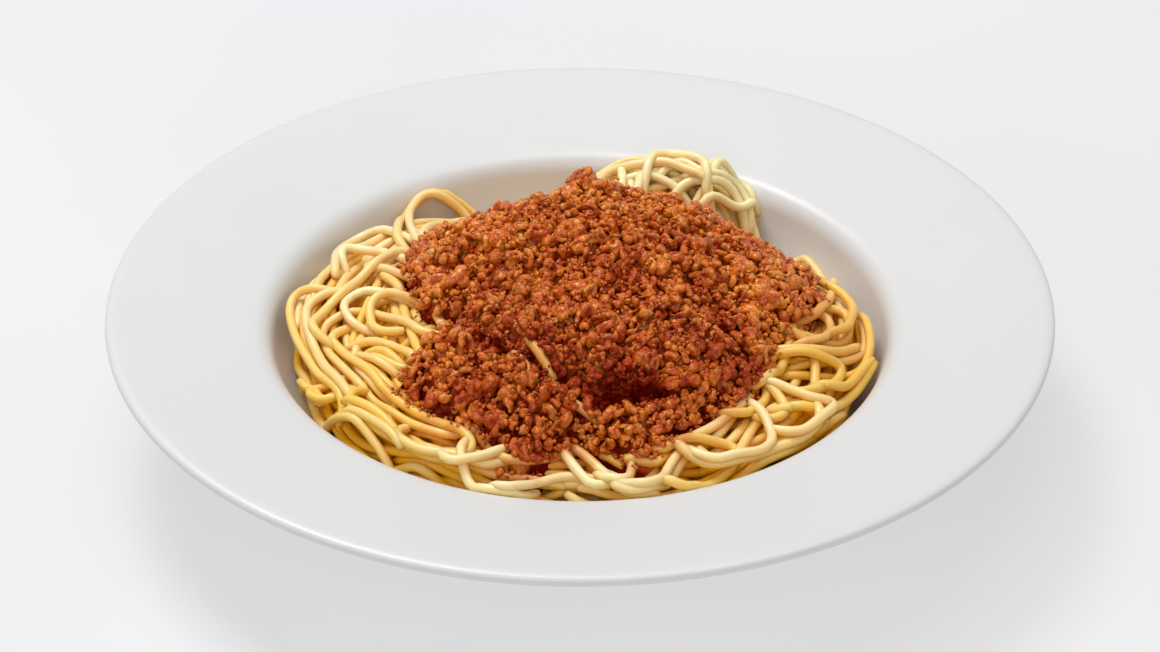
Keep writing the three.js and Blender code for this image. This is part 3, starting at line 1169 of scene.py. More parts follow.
TOP_STRANDS = (
    Strand("left wall", ((340, 296), (318, 292), (295, 298), (287, 318), (298, 346), (315, 369),
        (332, 386), (342, 401), (344, 418), (337, 430)), 1),
    Strand("left inner", ((322, 296), (308, 304), (305, 319), (312, 342), (326, 366), (342, 386),
        (362, 408))),
    Strand("left sweep", ((335, 319), (322, 327), (325, 346), (345, 369), (362, 389), (389, 411),
        (424, 429), (454, 441))),
    Strand("left loop", ((332, 341), (354, 359), (374, 376), (389, 394), (424, 416), (456, 429),
        (471, 438), (471, 453), (449, 461), (424, 456), (389, 436), (357, 416), (350, 404))),
    Strand("left upright", ((384, 277), (399, 287), (404, 309), (412, 336), (422, 361))),
    Strand("left short", ((372, 317), (388, 318), (404, 322), (418, 330))),
    Strand("back left arch", ((405, 236), (384, 230), (354, 237), (337, 254), (335, 277)), 1),
    Strand("back left inner arch", ((350, 249), (374, 249), (404, 259), (420, 272))),
    Strand("left bend", ((369, 279), (389, 272), (414, 279))),
    Strand("left rise", ((312, 322), (332, 302), (354, 284), (372, 269), (392, 257))),
    Strand("left fold", ((350, 322), (342, 304), (357, 289), (374, 289), (392, 298))),
    Strand("left hook", ((372, 327), (369, 304), (384, 292), (400, 294))),
    Strand("front left low", ((399, 451), (424, 473), (456, 478), (484, 474))),
    Strand("front left end", ((461, 468), (469, 488), (479, 496), (500, 498))),
    Strand("front arch", ((506, 496), (536, 484), (563, 476), (586, 478), (611, 484), (636, 491))),
    Strand("front rise", ((512, 470), (533, 463), (569, 453), (601, 445))),
    Strand("front short", ((566, 459), (578, 474), (588, 490))),
    Strand("front cross", ((578, 450), (586, 455), (602, 471), (624, 488), (640, 495))),
    Strand("front upright", ((636, 448), (634, 461), (629, 484))),
    Strand("front end", ((655, 466), (672, 453), (684, 446))),
    Strand("front bend", ((650, 497), (659, 491), (679, 463), (690, 452))),
    Strand("front left run", ((455, 464), (475, 459), (495, 454), (518, 449))),
    Strand("right rise", ((655, 495), (663, 488), (669, 465), (688, 442), (711, 427), (743, 406),
        (756, 392))),
    Strand("right front arch", ((665, 450), (683, 441), (721, 442), (738, 448), (737, 462), (718, 476),
        (691, 491))),
    Strand("right hook", ((735, 462), (743, 447), (752, 427), (767, 410), (790, 404), (813, 410),
        (825, 422))),
    Strand("right fold", ((715, 358), (729, 364), (752, 373), (767, 386), (766, 399), (746, 419))),
    Strand("right short", ((756, 372), (770, 386), (781, 399), (786, 412))),
    Strand("right drop", ((794, 308), (793, 321), (790, 343), (779, 366), (767, 375))),
    Strand("right loop", ((780, 330), (796, 337), (808, 341), (815, 361), (815, 386), (815, 398),
        (804, 410))),
    Strand("right back bend", ((806, 316), (825, 309), (844, 312), (850, 326), (845, 343), (830, 350))),
    Strand("right back hook", ((797, 312), (810, 311), (825, 313), (832, 325), (824, 338))),
    Strand("right cross", ((800, 356), (819, 354), (841, 352), (859, 347)), 1),
    Strand("right curl", ((808, 350), (821, 358), (844, 364), (842, 373), (830, 383), (816, 388))),
    Strand("right wall", ((820, 412), (841, 404), (857, 392), (873, 373), (883, 360), (874, 361),
        (851, 380), (841, 390))),
    Strand("front right low", ((690, 478), (722, 470), (767, 453), (792, 444), (807, 441), (820, 432))),
    Strand("front right bend", ((722, 474), (741, 467), (759, 462), (772, 447), (773, 433), (766, 420))),
    Strand("right bend", ((800, 398), (819, 404), (836, 406), (838, 416), (825, 430), (808, 441))),
    Strand("back right arch", ((600, 172), (619, 160), (647, 151), (677, 157), (709, 167), (731, 181),
        (742, 203), (743, 226))),
    Strand("back right crown", ((597, 173), (608, 161), (626, 151), (648, 147), (672, 149), (696, 157),
        (716, 168))),
    Strand("back right low", ((625, 180), (647, 175), (672, 182), (694, 197), (712, 215))),
    Strand("back right fold", ((700, 212), (706, 203), (709, 185), (718, 171), (730, 174), (738, 184))),
    Strand("back right outer", ((712, 176), (725, 185), (736, 197), (742, 212))),
    Strand("back right between", ((694, 182), (708, 189), (722, 198), (732, 210))),
    Strand("back right under", ((688, 166), (706, 176), (722, 188), (734, 202))),
    Strand("back right inner", ((612, 176), (630, 167), (660, 162), (688, 172), (704, 190))),
    Strand("back right cross", ((645, 180), (649, 163), (660, 154), (678, 154), (700, 162))),
    Strand("back right end", ((712, 214), (726, 216), (740, 220), (759, 220)), 1),
    Strand("right back edge", ((806, 258), (819, 264), (834, 279), (828, 302), (818, 312))),
    Strand("right back low", ((820, 285), (836, 292), (851, 299), (854, 312), (848, 330))),
    Strand("back left loop", ((397, 237), (399, 222), (407, 195), (424, 185), (444, 187), (464, 207))),
    Strand("back left inner loop", ((416, 238), (410, 222), (409, 205), (420, 192), (440, 196),
        (455, 212))),
)  # fmt: skip

PEEKING_STRANDS = (
    Strand("cleft left", ((512, 350), (520, 359), (528, 370), (536, 380)), 0),
    Strand("cleft right", ((528, 335), (537, 348), (546, 363), (555, 378)), 0),
    Strand("cleft front", ((562, 393), (574, 402), (587, 411), (602, 422)), 0),
)


@dataclass
class SpaghettiHeap:
    """Noodles laid one on another in the well, over a low core painted in the colour of noodles in shade.
    """

    ground: Field
    radius: float = 1.4
    sides: int = 10
    step: float = 1.9
    core_drop: float = 6.5
    hollows: tuple[Bell, ...] = (
        Bell(-22, 78, 26, 10, 3.5),
        Bell(26, 84, 15, 6, 5),
        Bell(-8, 84, 12, 7, 6),
    )
    wall_reach: float = 87.5
    bare_wall: tuple[tuple[float, float, float], ...] = ((28, 26, -8.5), (200, 24, -3.5))
    core_radius: float = 74.0
    core_rings: int = 60
    strand_reach: float = 90.0
    hardness: int = 24
    stiffness: int = 16
    softness: int = 4
    squash: float = 0.5
    piling: float = 1.2
    overfill_weight: float = 2.5
    spacing: float = 2.95
    sway: float = 0.9
    showing_over: float = 2.6
    showing_share: float = 0.84
    shortest_run: int = 12
    hidden_end: float = 12.0
    thinnest: float = 0.93
    thickest: float = 1.06
    sauce_reach: float = 1.08
    sauce_fade: float = 0.14
    shade_depth: float = 4.5
    # Painted light and painted shade by region: positive bells make the noodles and the core paler,
    # negative ones darker.
    painted_light_and_shade_parts: tuple[Bell, ...] = (
        Bell(33, 73, 26, 15, 0.95),
        Bell(-60, 40, 22, 22, 0.4),
        Bell(72, -12, 18, 18, -0.35),
        Bell(-10, -84, 24, 8, 0.4),
        Bell(-58, -53, 14, 14, -0.25),
    )
    # Sauce tint on the noodles in spots; the last spot, on the shaded right side, is partly sauce and
    # partly painted shade.
    stains_and_painted_shade: tuple[Bell, ...] = (
        Bell(-34, -61, 9, 3, 0.45),
        Bell(-20, -79, 3.5, 2.2, 1.2),
        Bell(72, -12, 9, 14, 0.5),
    )
    bare: Field = field(default_factory=Field)
    strands: list[Array] = field(default_factory=list)
    layers: list[list[Array]] = field(default_factory=list)

    def resting(self, x: Array, y: Array) -> Array:
        """Gives the heights at which a noodle rests on the highest things under it.

        They are a smooth line over the supports: z = max(support, mean of z beside), repeated as
        often as the noodle is stiff, and evened out.

        Args:
            x: X coordinates along the noodle.
            y: Y coordinates along the noodle.

        Returns:
            The heights of its middle line.
        """
        held = self.ground.support(x, y, self.radius) - self.squash
        z = held
        for _ in range(self.stiffness):
            z = np.maximum(held, eased(z))
        for _ in range(3):
            z = eased(z)
        return z

    def wall_limit(self, x: Array, y: Array) -> Array:
        """Gives how far out noodles lie in the directions of points: less where the wall stays bare."""
        return add_bumps(self.wall_reach, np.arctan2(y, x), self.bare_wall)

    def free_height(self, x: Array, y: Array) -> Array:
        """Gives the height that the noodles fill up to: the bare heap, less the hollows at the back."""
        wall = PLATE.inner_height(np.hypot(x, y)) + 2.5
        return np.maximum(HEAP.height(x, y) - bells_at(self.hollows, x, y), wall)

    def lay(self, plan: Array, dive: float, sink: float = 0.0, loose: bool = False) -> None:
        """Lays a noodle on what is there and adds it to the ground.

        Its ends dip between the noodles below by dive * (1 - s / run)^2, but never into the plate.

        Args:
            plan: Points in plan, evenly spaced.
            dive: How far the ends dip.
            sink: How far the whole noodle is pressed down.
            loose: Whether the path starts at a loose end, which doesn't dip.
        """
        x, y = plan.T
        along = np.arange(len(x))[::-1] * self.step
        if not loose:
            along = np.minimum(along, along[::-1])
        dip = sink + dive * np.clip(1 - along / self.hidden_end, 0, 1) ** 2
        z = np.maximum(self.resting(x, y) - dip, self.bare.support(x, y, self.radius))
        self.ground.stamp(x, y, z, self.radius)
        self.strands.append(np.column_stack([x, y, z]))

    def wandering(self, count: int, length: float, bend: float, seed: int) -> Array:
        """Draws noodles that wander, each passing the origin somewhere in its middle half.

        The heading is the running sum of a curvature made of two sine waves and a steady turn, and
        the path is the running sum of the headings.

        Args:
            count: How many noodles to draw.
            length: Their length.
            bend: The strongest curvature, per millimetre.
            seed: Starts the draw.

        Returns:
            Paths in plan, of shape (count, points, 2).
        """
        rng = np.random.default_rng(seed)
        s = np.arange(0.0, length, self.step)
        phase = rng.uniform(0, 2 * np.pi, (count, 2, 1))
        pitch = rng.uniform((80, 44), (160, 76), (count, 2))[:, :, None]
        long_sway, short_sway = np.moveaxis(np.sin(2 * np.pi * s / pitch + phase), 1, 0)
        sway = long_sway + 0.4 * short_sway
        steady = rng.normal(0, 0.5, (count, 1))
        start = rng.uniform(0, 2 * np.pi, (count, 1))
        heading = start + np.cumsum(bend * (sway + steady) * self.step, axis=1)
        steps = np.stack([np.cos(heading), np.sin(heading)], -1) * self.step
        paths = np.cumsum(steps, axis=1)
        middle = rng.integers(len(s) // 4, 3 * len(s) // 4, count)
        return paths - paths[np.arange(count), middle][:, None]

    def sweeping(self, place: Array, count: int, rng: np.random.Generator) -> list[Array]:
        """Draws noodles that sweep round the well past a place.

        At s from the place, rho(s) = rho0 + a sin(2 pi s / p) - b (2s / L)^6 / 8, and the angle grows
        by s / rho0.

        Args:
            place: The place in plan.
            count: How many noodles to draw.
            rng: Gives the draws.

        Returns:
            Paths in plan.
        """
        wall = np.hypot(*place)
        paths = []
        for length in rng.uniform(50, 120, count):
            s = np.arange(0, length, self.step) - length * rng.uniform(0.3, 0.7)
            rho = wall + rng.uniform(-3, 3) * np.sin(2 * np.pi * s / rng.uniform(45, 110))
            rho = rho - rng.uniform(1, 6) * (2 * s / length) ** 6 / 8
            angle = np.arctan2(place[1], place[0]) + s / wall
            paths.append(np.column_stack([rho * np.cos(angle), rho * np.sin(angle)]))
        return paths

    def pressed(self, plan: Array, limit: Array | float) -> Array:
        """Presses a path inside a limit R: the radius rho becomes rho / (1 + (rho / R)^n)^(1/n)."""
        share = np.hypot(*plan.T) / limit
        return plan * ((1 + share**self.hardness) ** (-1 / self.hardness))[:, None]

    def inside(self, plan: Array) -> Array:
        """Presses a path inside the part of the wall that noodles reach."""
        return self.pressed(plan, self.wall_limit(*plan.T))

    def showing(self, plan: Array) -> list[Array]:
        """Cuts a path where it lies deep under the mound of sauce.

        Args:
            plan: Points in plan.

        Returns:
            The runs that are left, evenly spaced.
        """
        shows = MOUND.share(*plan.T) > self.showing_share
        cuts = np.flatnonzero(np.diff(shows.astype(int))) + 1
        runs = np.split(plan, cuts)[(0 if shows[0] else 1) :: 2]
        return [smooth_path(run, self.step) for run in runs if len(run) > self.shortest_run]

    def fullness(self, runs: list[Array], top: float) -> float:
        """Tells how full the well is where runs would lie.

        Args:
            runs: Paths in plan.
            top: The height over the free height that should stay empty.

        Returns:
            The mean height over the free height, more where places lie over top, or a large value
            without runs.
        """
        if not runs:
            return FULL
        x, y = np.vstack(runs).T
        over = self.ground.support(x, y, self.radius) - self.radius - self.free_height(x, y)
        return float(over.mean() + self.overfill_weight * np.maximum(over - top, 0).mean())

    def lay_best(self, plans: list[Array], top: float, rng: np.random.Generator) -> None:
        """Lays one to three noodles side by side along the path where the well is emptiest.

        Args:
            plans: The paths to choose from.
            top: The height over the free height that they may fill up to.
            rng: Gives the draws.
        """
        choices = [self.showing(self.inside(plan)) for plan in plans]
        full = [self.fullness(runs, top) for runs in choices]
        if min(full) > top + self.piling:
            return
        for run in choices[int(np.argmin(full))]:
            ahead = np.gradient(run, axis=0)
            side = np.column_stack([-ahead[:, 1], ahead[:, 0]]) / self.step
            along = np.arange(len(run)) * self.step
            for n in range(rng.integers(1, 4)):
                sway = self.sway * np.sin(along / rng.uniform(12, 20) + rng.uniform(0, 6))
                gap = n * self.spacing + (n > 0) * sway
                first, last = rng.integers(0, 5, 2) if n else (0, 0)
                shifted = (run + side * gap[:, None])[first : len(run) - last]
                self.lay(self.inside(shifted), 3.0)

    def lay_round(self, count: int, tries: int, top: float, seed: int) -> None:
        """Lays bundles of noodles that follow the well's wall.

        Args:
            count: How many bundles to lay at most.
            tries: From how many paths each is chosen.
            top: The height over the free height that they fill up to.
            seed: Starts the draw.
        """
        rng = np.random.default_rng(seed)
        for _ in range(count):
            angle = rng.uniform(0, 2 * np.pi, tries)
            ring = np.column_stack([np.cos(angle), np.sin(angle)])
            places = ring * (self.wall_limit(*ring.T) - rng.uniform(1.5, 13, tries))[:, None]
            self.lay_best([plan for place in places for plan in self.sweeping(place, 1, rng)], top, rng)

    def lay_bed(self, count: int, tries: int, length: float, top: float, seed: int) -> None:
        """Lays bundles of noodles, each past the place where the well is emptiest.

        Args:
            count: How many bundles to lay at most.
            tries: From how many paths each is chosen.
            length: The noodles' length.
            top: The height over the free height that they fill up to.
            seed: Starts the draw.
        """
        rng = np.random.default_rng(seed)
        drawn = self.wandering(count * tries, length, 0.04, seed)
        x, y = self.ground.grid()
        free = self.free_height(x, y)
        zone = (MOUND.share(x, y) > 0.93) & (np.hypot(x, y) < self.wall_limit(x, y) - 1.5)
        seen = np.where(zone, 0.0, FULL)
        for k in range(count):
            over = self.ground.level(5.0) - free + seen
            cell = np.unravel_index(np.argmin(over), over.shape)
            if over[cell] > top:
                break
            place = np.array([x[cell], y[cell]])
            seen += np.exp(-((x - place[0]) ** 2 + (y - place[1]) ** 2) / 24)
            plans = [*(drawn[k * tries : (k + 1) * tries] + place), *self.sweeping(place, tries // 3, rng)]
            self.lay_best(plans, top, rng)

    def run_on(self, plan: Array) -> Array:
        """Carries a path on past its end, turning it towards the mound.

        At a distance s past the end, exp(-s / 6) of the turn is still left.

        Args:
            plan: Points in plan, evenly spaced.

        Returns:
            The longer path.
        """
        ahead = plan[-1] - plan[-4]
        inward = np.array(MOUND.centre) - plan[-1]
        heading = np.arctan2(ahead[1], ahead[0])
        turn = (np.arctan2(inward[1], inward[0]) - heading + np.pi) % (2 * np.pi) - np.pi
        s = np.arange(1, int(self.hidden_end / self.step) + 1) * self.step
        turned = heading + turn * (1 - np.exp(-s / 6))
        more = np.cumsum(np.column_stack([np.cos(turned), np.sin(turned)]) * self.step, axis=0)
        return np.vstack([plan, plan[-1] + more])

    def from_photo(self, strand: Strand) -> Array:
        """Works out a strand's path in plan: where its pixels meet the height at which it rests.

        Args:
            strand: The strand.

        Returns:
            Its path in plan.
        """
        pixels = smooth_path(np.array(strand.pixels, float), 5.0)
        plan, level = VIEW.on_surface(pixels, self.showing_height)
        for _ in range(6):
            level = (level + self.resting(*plan.T)) / 2
            for _ in range(8):
                level = eased(level)
            plan = VIEW.on_levels(pixels, level)
        plan = smooth_path(self.pressed(plan, self.strand_reach), self.step)
        for _ in range(self.softness):
            plan = eased(plan)
        if strand.hidden_ends == 2:
            plan = self.run_on(plan)
        return self.run_on(plan[::-1]) if strand.hidden_ends else plan

    def showing_height(self, x: Array, y: Array) -> Array:
        """Gives the height at which showing noodles lie, on the heap or on the wall."""
        wall = PLATE.inner_height(np.hypot(x, y)) + self.radius
        return np.maximum(HEAP.height(x, y) + self.showing_over, wall)

    def core_height(self, x: Array, y: Array) -> Array:
        """Gives the height of the core's top at points: below the bare heap, and uneven."""
        drop = self.core_drop + bells_at(self.hollows, x, y)
        return HEAP.height(x, y) - drop + 0.8 * waves(x, y, 9, 3)

    def core(self) -> MeshData:
        """Makes the core: a dome under the noodles in painted shade, which follows the well's floor below.

        Returns:
            The core.
        """
        share, angle, faces = hex_disc(self.core_rings)
        radius = share * self.core_radius
        x, y = radius * np.cos(angle), radius * np.sin(angle)
        bottom = PLATE.inner_height(radius + 0.8) + 0.6
        top = np.maximum(self.core_height(x, y), bottom + 0.3)
        count = len(x)
        vertices = np.vstack([np.column_stack([x, y, top]), np.column_stack([x, y, bottom])])
        edge = np.arange(count - 6 * self.core_rings, count)
        nxt = np.roll(edge, -1)
        side = np.stack([edge, edge + count, nxt + count, nxt], -1)
        # Painted shade: the core takes the deep yellow-orange of noodles in shade, and paler tones where
        # the regional bells paint light.
        pale = bells_at(self.painted_light_and_shade_parts, *vertices.T[:2])
        data = MeshData()
        data.add(vertices, [faces, faces[:, ::-1] + count, side], tone=pale, sauce=0.0, depth=1 - pale)
        return data

    def gather(self, paths: list[Array], seed: int, most: float = 1.0) -> MeshData:
        """Makes tubes of laid noodles, with their tone, their painted light and shade, and how much sauce
        lies on them.

        Args:
            paths: Laid paths of shape (n, 3).
            seed: Starts the draw of tones.
            most: The most sauce that lies on any of them.

        Returns:
            The tubes.
        """
        rng = np.random.default_rng(seed)
        data = MeshData()
        level = self.ground.level(8.0)
        for path in paths:
            ends = np.minimum(np.arange(len(path)), np.arange(len(path))[::-1]) / 1.6
            taper = np.sqrt(np.clip(1 - (1 - np.minimum(ends + 0.4, 1)) ** 2, 0, 1))
            radius = self.radius * rng.uniform(self.thinnest, self.thickest) * taper
            vertices, faces = tube(path, radius, self.sides)
            plan, height = vertices.T[:2], vertices[:, 2]
            reach = self.sauce_reach + 0.06 * waves(*plan, 26, 8)
            near = np.clip((reach - MOUND.share(*plan)) / self.sauce_fade, 0, 1)
            # Sauce tint near the mound and in spots; the spot on the right is partly painted shade.
            sauce = most * np.clip(near + bells_at(self.stains_and_painted_shade, *plan), 0, 1)
            # Painted light and painted shade by region: a paler tone and less painted shade where the bells
            # are positive, a darker tone where negative.
            pale = bells_at(self.painted_light_and_shade_parts, *plan)
            # Painted shade: the lower half of each tube, and noodles lying below the local level, get
            # depth, which paints them a deep yellow-orange.
            middle = np.concatenate([np.repeat(path[:, 2], self.sides), path[[0, -1], 2]])
            below = np.clip(0.5 - (height - middle) / (2 * self.radius), 0, 1)
            sunk = (level[self.ground.cells(*plan)] - height) / self.shade_depth
            depth = np.clip(np.maximum(sunk, 0) + below, 0, 1) * (1 - 0.85 * np.clip(pale, 0, 1))
            tone = np.clip(rng.uniform(0.0, 0.9) + pale, 0, 1)
            data.add(vertices, faces, tone=tone, sauce=sauce, depth=depth)
        return data

    def close_layer(self) -> None:
        """Keeps the noodles laid since the last layer as a layer of their own, and logs how they lie."""
        x, y = self.ground.grid()
        ring = (MOUND.share(x, y) > 1.02) & (np.hypot(x, y) < 80)
        over = (self.ground.heights - HEAP.height(x, y))[ring]
        log.info("%d noodles, %.1f mm over, spread %.1f", len(self.strands), over.mean(), over.std())
        self.layers.append(self.strands)
        self.strands = []

    def lay_all(self) -> None:
        """Lays the bed, the strands of the photograph on it, and a few more where it is still low."""
        x, y = self.ground.grid()
        self.ground.raise_to(np.where(np.hypot(x, y) < self.core_radius, self.core_height(x, y), 0))
        self.lay_round(count=130, tries=8, top=-3.2, seed=4)
        self.lay_bed(count=110, tries=10, length=100, top=-3.8, seed=5)
        self.lay_bed(count=180, tries=10, length=60, top=-2.8, seed=7)
        self.close_layer()
        for strand in TOP_STRANDS:
            self.lay(self.from_photo(strand), dive=3.4, loose=strand.hidden_ends == 1)
        self.lay_bed(count=110, tries=12, length=50, top=-1.4, seed=6)
        self.close_layer()

    def lay_peeking(self) -> None:
        """Lays the strands that peek out of the sauce, on its bed."""
        for strand in PEEKING_STRANDS:
            self.lay(self.from_photo(strand), dive=1.0, sink=0.2)

    def build(self, material: bpy.types.Material) -> None:
        """Makes the core's and the noodles' pieces.

        Args:
            material: The pasta.
        """
        bed, top = self.layers
        middle = len(bed) // 2
        pieces = {
            "noodle_core": self.core(),
            "noodles_below": self.gather(bed[:middle], 1),
            "noodles_between": self.gather(bed[middle:], 2),
            "noodles_on_top": self.gather(top, 3),
            "noodles_in_sauce": self.gather(self.strands, 4, 0.7),
        }
        for name, data in pieces.items():
            mesh_piece(name, data, material, "spaghetti")


# The meat sauce


@dataclass(frozen=True)
class Crumbs:
    """One kind of crumbs of mince: their number, their radii and how they are dropped and made.

    Each crumb has a number of round knobs; knob_width is 1 - cos of the angle at which a knob ends.
    A crumb stays only where it rests at most over_goal higher than the height that is to be filled.
    """

    name: str
    count: int
    least: float
    most: float
    reach: float
    tries: int
    batch: int
    splits: int
    knobs: int
    knob_width: float
    over_goal: float = 1.0
    spot: Bell | None = None


# In each row: name, count, least, most, reach, tries, batch, splits, knobs, knob_width, over_goal, spot
CRUMBS = (
    Crumbs("mince_lumps", 95, 2.0, 3.1, 0.95, 4, 6, 2, 18, 0.18),
    Crumbs("mince_chunks", 850, 1.6, 2.5, 0.965, 4, 6, 1, 8, 0.45),
    Crumbs("mince_large", 1350, 1.15, 1.9, 0.98, 4, 10, 1, 7, 0.5),
    Crumbs("mince_small", 1900, 0.8, 1.35, 0.995, 3, 20, 1, 5, 0.75, 1.2),
    Crumbs("mince_bits", 2300, 0.6, 1.0, 1.01, 1, 20, 1, 4, 0.9, 2.0),
    Crumbs("mince_fine", 3000, 0.4, 0.75, 1.03, 1, 100, 0, 3, 1.2, 2.8),
    Crumbs("spilt_mince", 24, 0.5, 1.1, 1.0, 1, 1, 1, 4, 0.9, 1.0, Bell(-20, -79, 3.2, 1.6, 0)),
)


@dataclass
class MeatSauce:
    """A bed of sauce with crumbs of mince dropped on it one by one."""

    ground: Field
    rings: int = 170
    sunk: float = 0.6
    small_lobes: float = 5.0
    resting_share: float = 0.86
    lobe_pull: float = 1.5
    # How far crumbs drop in the clefts, and how much painted shade the crumbs there get.
    cleft_drop_and_shade: float = 0.08
    shade_depth: float = 3.8
    strip: Bell = Bell(-8, -56, 7, 3, 1.0)
    # Painted shade by region: darker at the front and in the middle, lighter at the left.
    painted_shade_parts: tuple[Bell, ...] = (
        Bell(10, -50, 34, 15, 0.26),
        Bell(5, -10, 22, 19, 0.2),
        Bell(-38, 10, 14, 24, -0.2),
        Bell(-18, -68, 12, 9, 0.2),
    )
    laid: Array = field(init=False)

    def bed_height(self, x: Array, y: Array) -> Array:
        """Gives the height of the sauce between the crumbs: the goal with crumbly tops of two sizes.

        Args:
            x: X coordinates.
            y: Y coordinates.

        Returns:
            The heights.
        """
        share = np.minimum(MOUND.share(x, y), 1)
        u = x + 1.3 * waves(x, y, 7, 61) + 0.5 * waves(x, y, 2.6, 62)
        v = y + 1.3 * waves(x, y, 7, 63) + 0.5 * waves(x, y, 2.6, 64)
        relief = 2.4 * lumps(u, v, 2.6, 52) + 1.1 * lumps(u, v, 1.4, 53)
        return self.goal(x, y) + relief * (1 - 0.6 * share**6) - 1.5 - 2.6 * share**10

    def bed(self) -> MeshData:
        """Makes the bed of sauce, which sinks between the noodles at its edge, and raises the ground.

        Returns:
            The bed, with a plain hollow underside that nothing shows.
        """
        share, angle, faces = hex_disc(self.rings)
        radius = share * MOUND.outline(angle)
        x = MOUND.centre[0] + radius * np.cos(angle)
        y = MOUND.centre[1] + radius * np.sin(angle)
        noodles = self.ground.level(3.0)
        top = self.draped(x, y, noodles[self.ground.cells(x, y)])
        rim = np.arange(len(x) - 6 * self.rings, len(x))
        skirt = np.column_stack([x[rim], y[rim], top[rim] - 2.5])
        middle = [*MOUND.centre, 38.0]
        vertices = np.vstack([np.column_stack([x, y, top]), skirt, middle])
        low = rim + 6 * self.rings
        side = np.stack([rim, low, np.roll(low, -1), np.roll(rim, -1)], -1)
        under = fan_faces(len(vertices) - 1, len(x), 6 * self.rings, True)
        # Painted shade: the sauce is darker where it lies below the goal, in the clefts and in the regions
        # of painted shade; the hidden skirt is dark too.
        wet_gloss_and_painted_shade = 0.1 * MOUND.cleft_depth(x, y) + bells_at(self.painted_shade_parts, x, y)
        depth = np.clip((self.goal(x, y) - 0.6 - top) / 2.6 + wet_gloss_and_painted_shade, 0, 0.95)
        depth = np.concatenate([depth, np.full(len(vertices) - len(x), 0.9)])
        data = MeshData()
        data.add(vertices, [faces, side, under], tone=0.45, depth=depth)
        i, j = self.ground.grid()
        self.ground.raise_to(np.where(MOUND.share(i, j) < 0.99, self.draped(i, j, noodles), 0))
        self.laid = self.ground.heights.copy()
        return data

    def draped(self, x: Array, y: Array, noodles: Array) -> Array:
        """Gives the height of the sauce's top: its bed, or a film over noodles that stand higher.

        Args:
            x: X coordinates.
            y: Y coordinates.
            noodles: The noodles' level there.

        Returns:
            The heights.
        """
        edge = np.minimum(MOUND.share(x, y), 1) ** 24
        film = noodles + 0.9 + 1.6 * lumps(x, y, 3.1, 57) - 3.5 * edge
        film -= 4 * self.strip.at(x, y) + 0.6 * MOUND.cleft_depth(x, y)
        return np.maximum(self.bed_height(x, y), film)

    def goal(self, x: Array, y: Array) -> Array:
        """Gives the height that the crumbs fill up to: the mound with its large and small lobes.

        Args:
            x: X coordinates.
            y: Y coordinates.

        Returns:
            The heights.
        """
        large = 4.0 * lumps(*self.bent(x, y), 12, 45) + 0.6 * waves(x, y, 8, 42)
        lobes = large + self.small_lobes * self.small_lobe(x, y)
        fade = 1 - np.minimum(MOUND.share(x, y), 1) ** MOUND.edge_power
        return HEAP.height(x, y) + MOUND.over_heap(x, y) + (0.3 + 0.7 * fade) * (lobes - 0.5)

    def bent(self, x: Array, y: Array) -> tuple[Array, Array]:
        """Moves points a little by waves, so that the lobes aren't round."""
        return x + 2.5 * waves(x, y, 17, 43), y + 2.5 * waves(x, y, 17, 44)

    def small_lobe(self, x: Array, y: Array) -> Array:
        """Gives the relief of the small lobes, which also draws the crumbs to their tops."""
        return lumps(*self.bent(x, y), 5.8, 51)

    def drop(self, kind: Crumbs, seed: int) -> tuple[Array, Array]:
        """Drops crumbs on the sauce in batches: each takes the emptiest of a few places that it tries.

        Args:
            kind: How many crumbs of which size to drop, and how.
            seed: Starts the draw.

        Returns:
            Centres of shape (count, 3), and radii.
        """
        rng = np.random.default_rng(seed)
        shape = (kind.count, kind.tries)
        size = kind.least + (kind.most - kind.least) * rng.beta(1.6, 2.6, kind.count)
        size = -np.sort(-size)
        angle = rng.uniform(0, 2 * np.pi, shape)
        rho = kind.reach * np.sqrt(rng.uniform(0, 1, shape)) * MOUND.outline(angle)
        x = MOUND.centre[0] + rho * np.cos(angle)
        y = MOUND.centre[1] + rho * np.sin(angle)
        if kind.spot:
            x = kind.spot.x + kind.spot.spread_x * rng.normal(size=shape)
            y = kind.spot.y + kind.spot.spread_y * rng.normal(size=shape)
        laid = self.laid[self.ground.cells(x, y)]
        goal = np.maximum(self.goal(x, y), laid + 0.4) - self.cleft_drop_and_shade * MOUND.cleft_depth(x, y)
        lobe = self.small_lobe(x, y)
        centres = np.empty((kind.count, 3))
        kept = np.zeros(kind.count, bool)
        for k in range(0, kind.count, kind.batch):
            rows = np.arange(k, min(k + kind.batch, kind.count))
            radius = self.resting_share * size[rows].mean()
            held = self.ground.support(x[rows].ravel(), y[rows].ravel(), radius).reshape(len(rows), -1)
            over = held - goal[rows]
            best = np.argmin(over - self.lobe_pull * lobe[rows], axis=1)
            z = held[np.arange(len(rows)), best] - self.sunk * size[rows]
            centres[rows] = np.column_stack([x[rows, best], y[rows, best], z])
            kept[rows] = over[np.arange(len(rows)), best] < kind.over_goal + 0.9 * radius
            self.ground.stamp(*centres[rows][kept[rows]].T, radius)
        log.info("%s: %d of %d kept", kind.name, kept.sum(), kind.count)
        return centres[kept], size[kept]

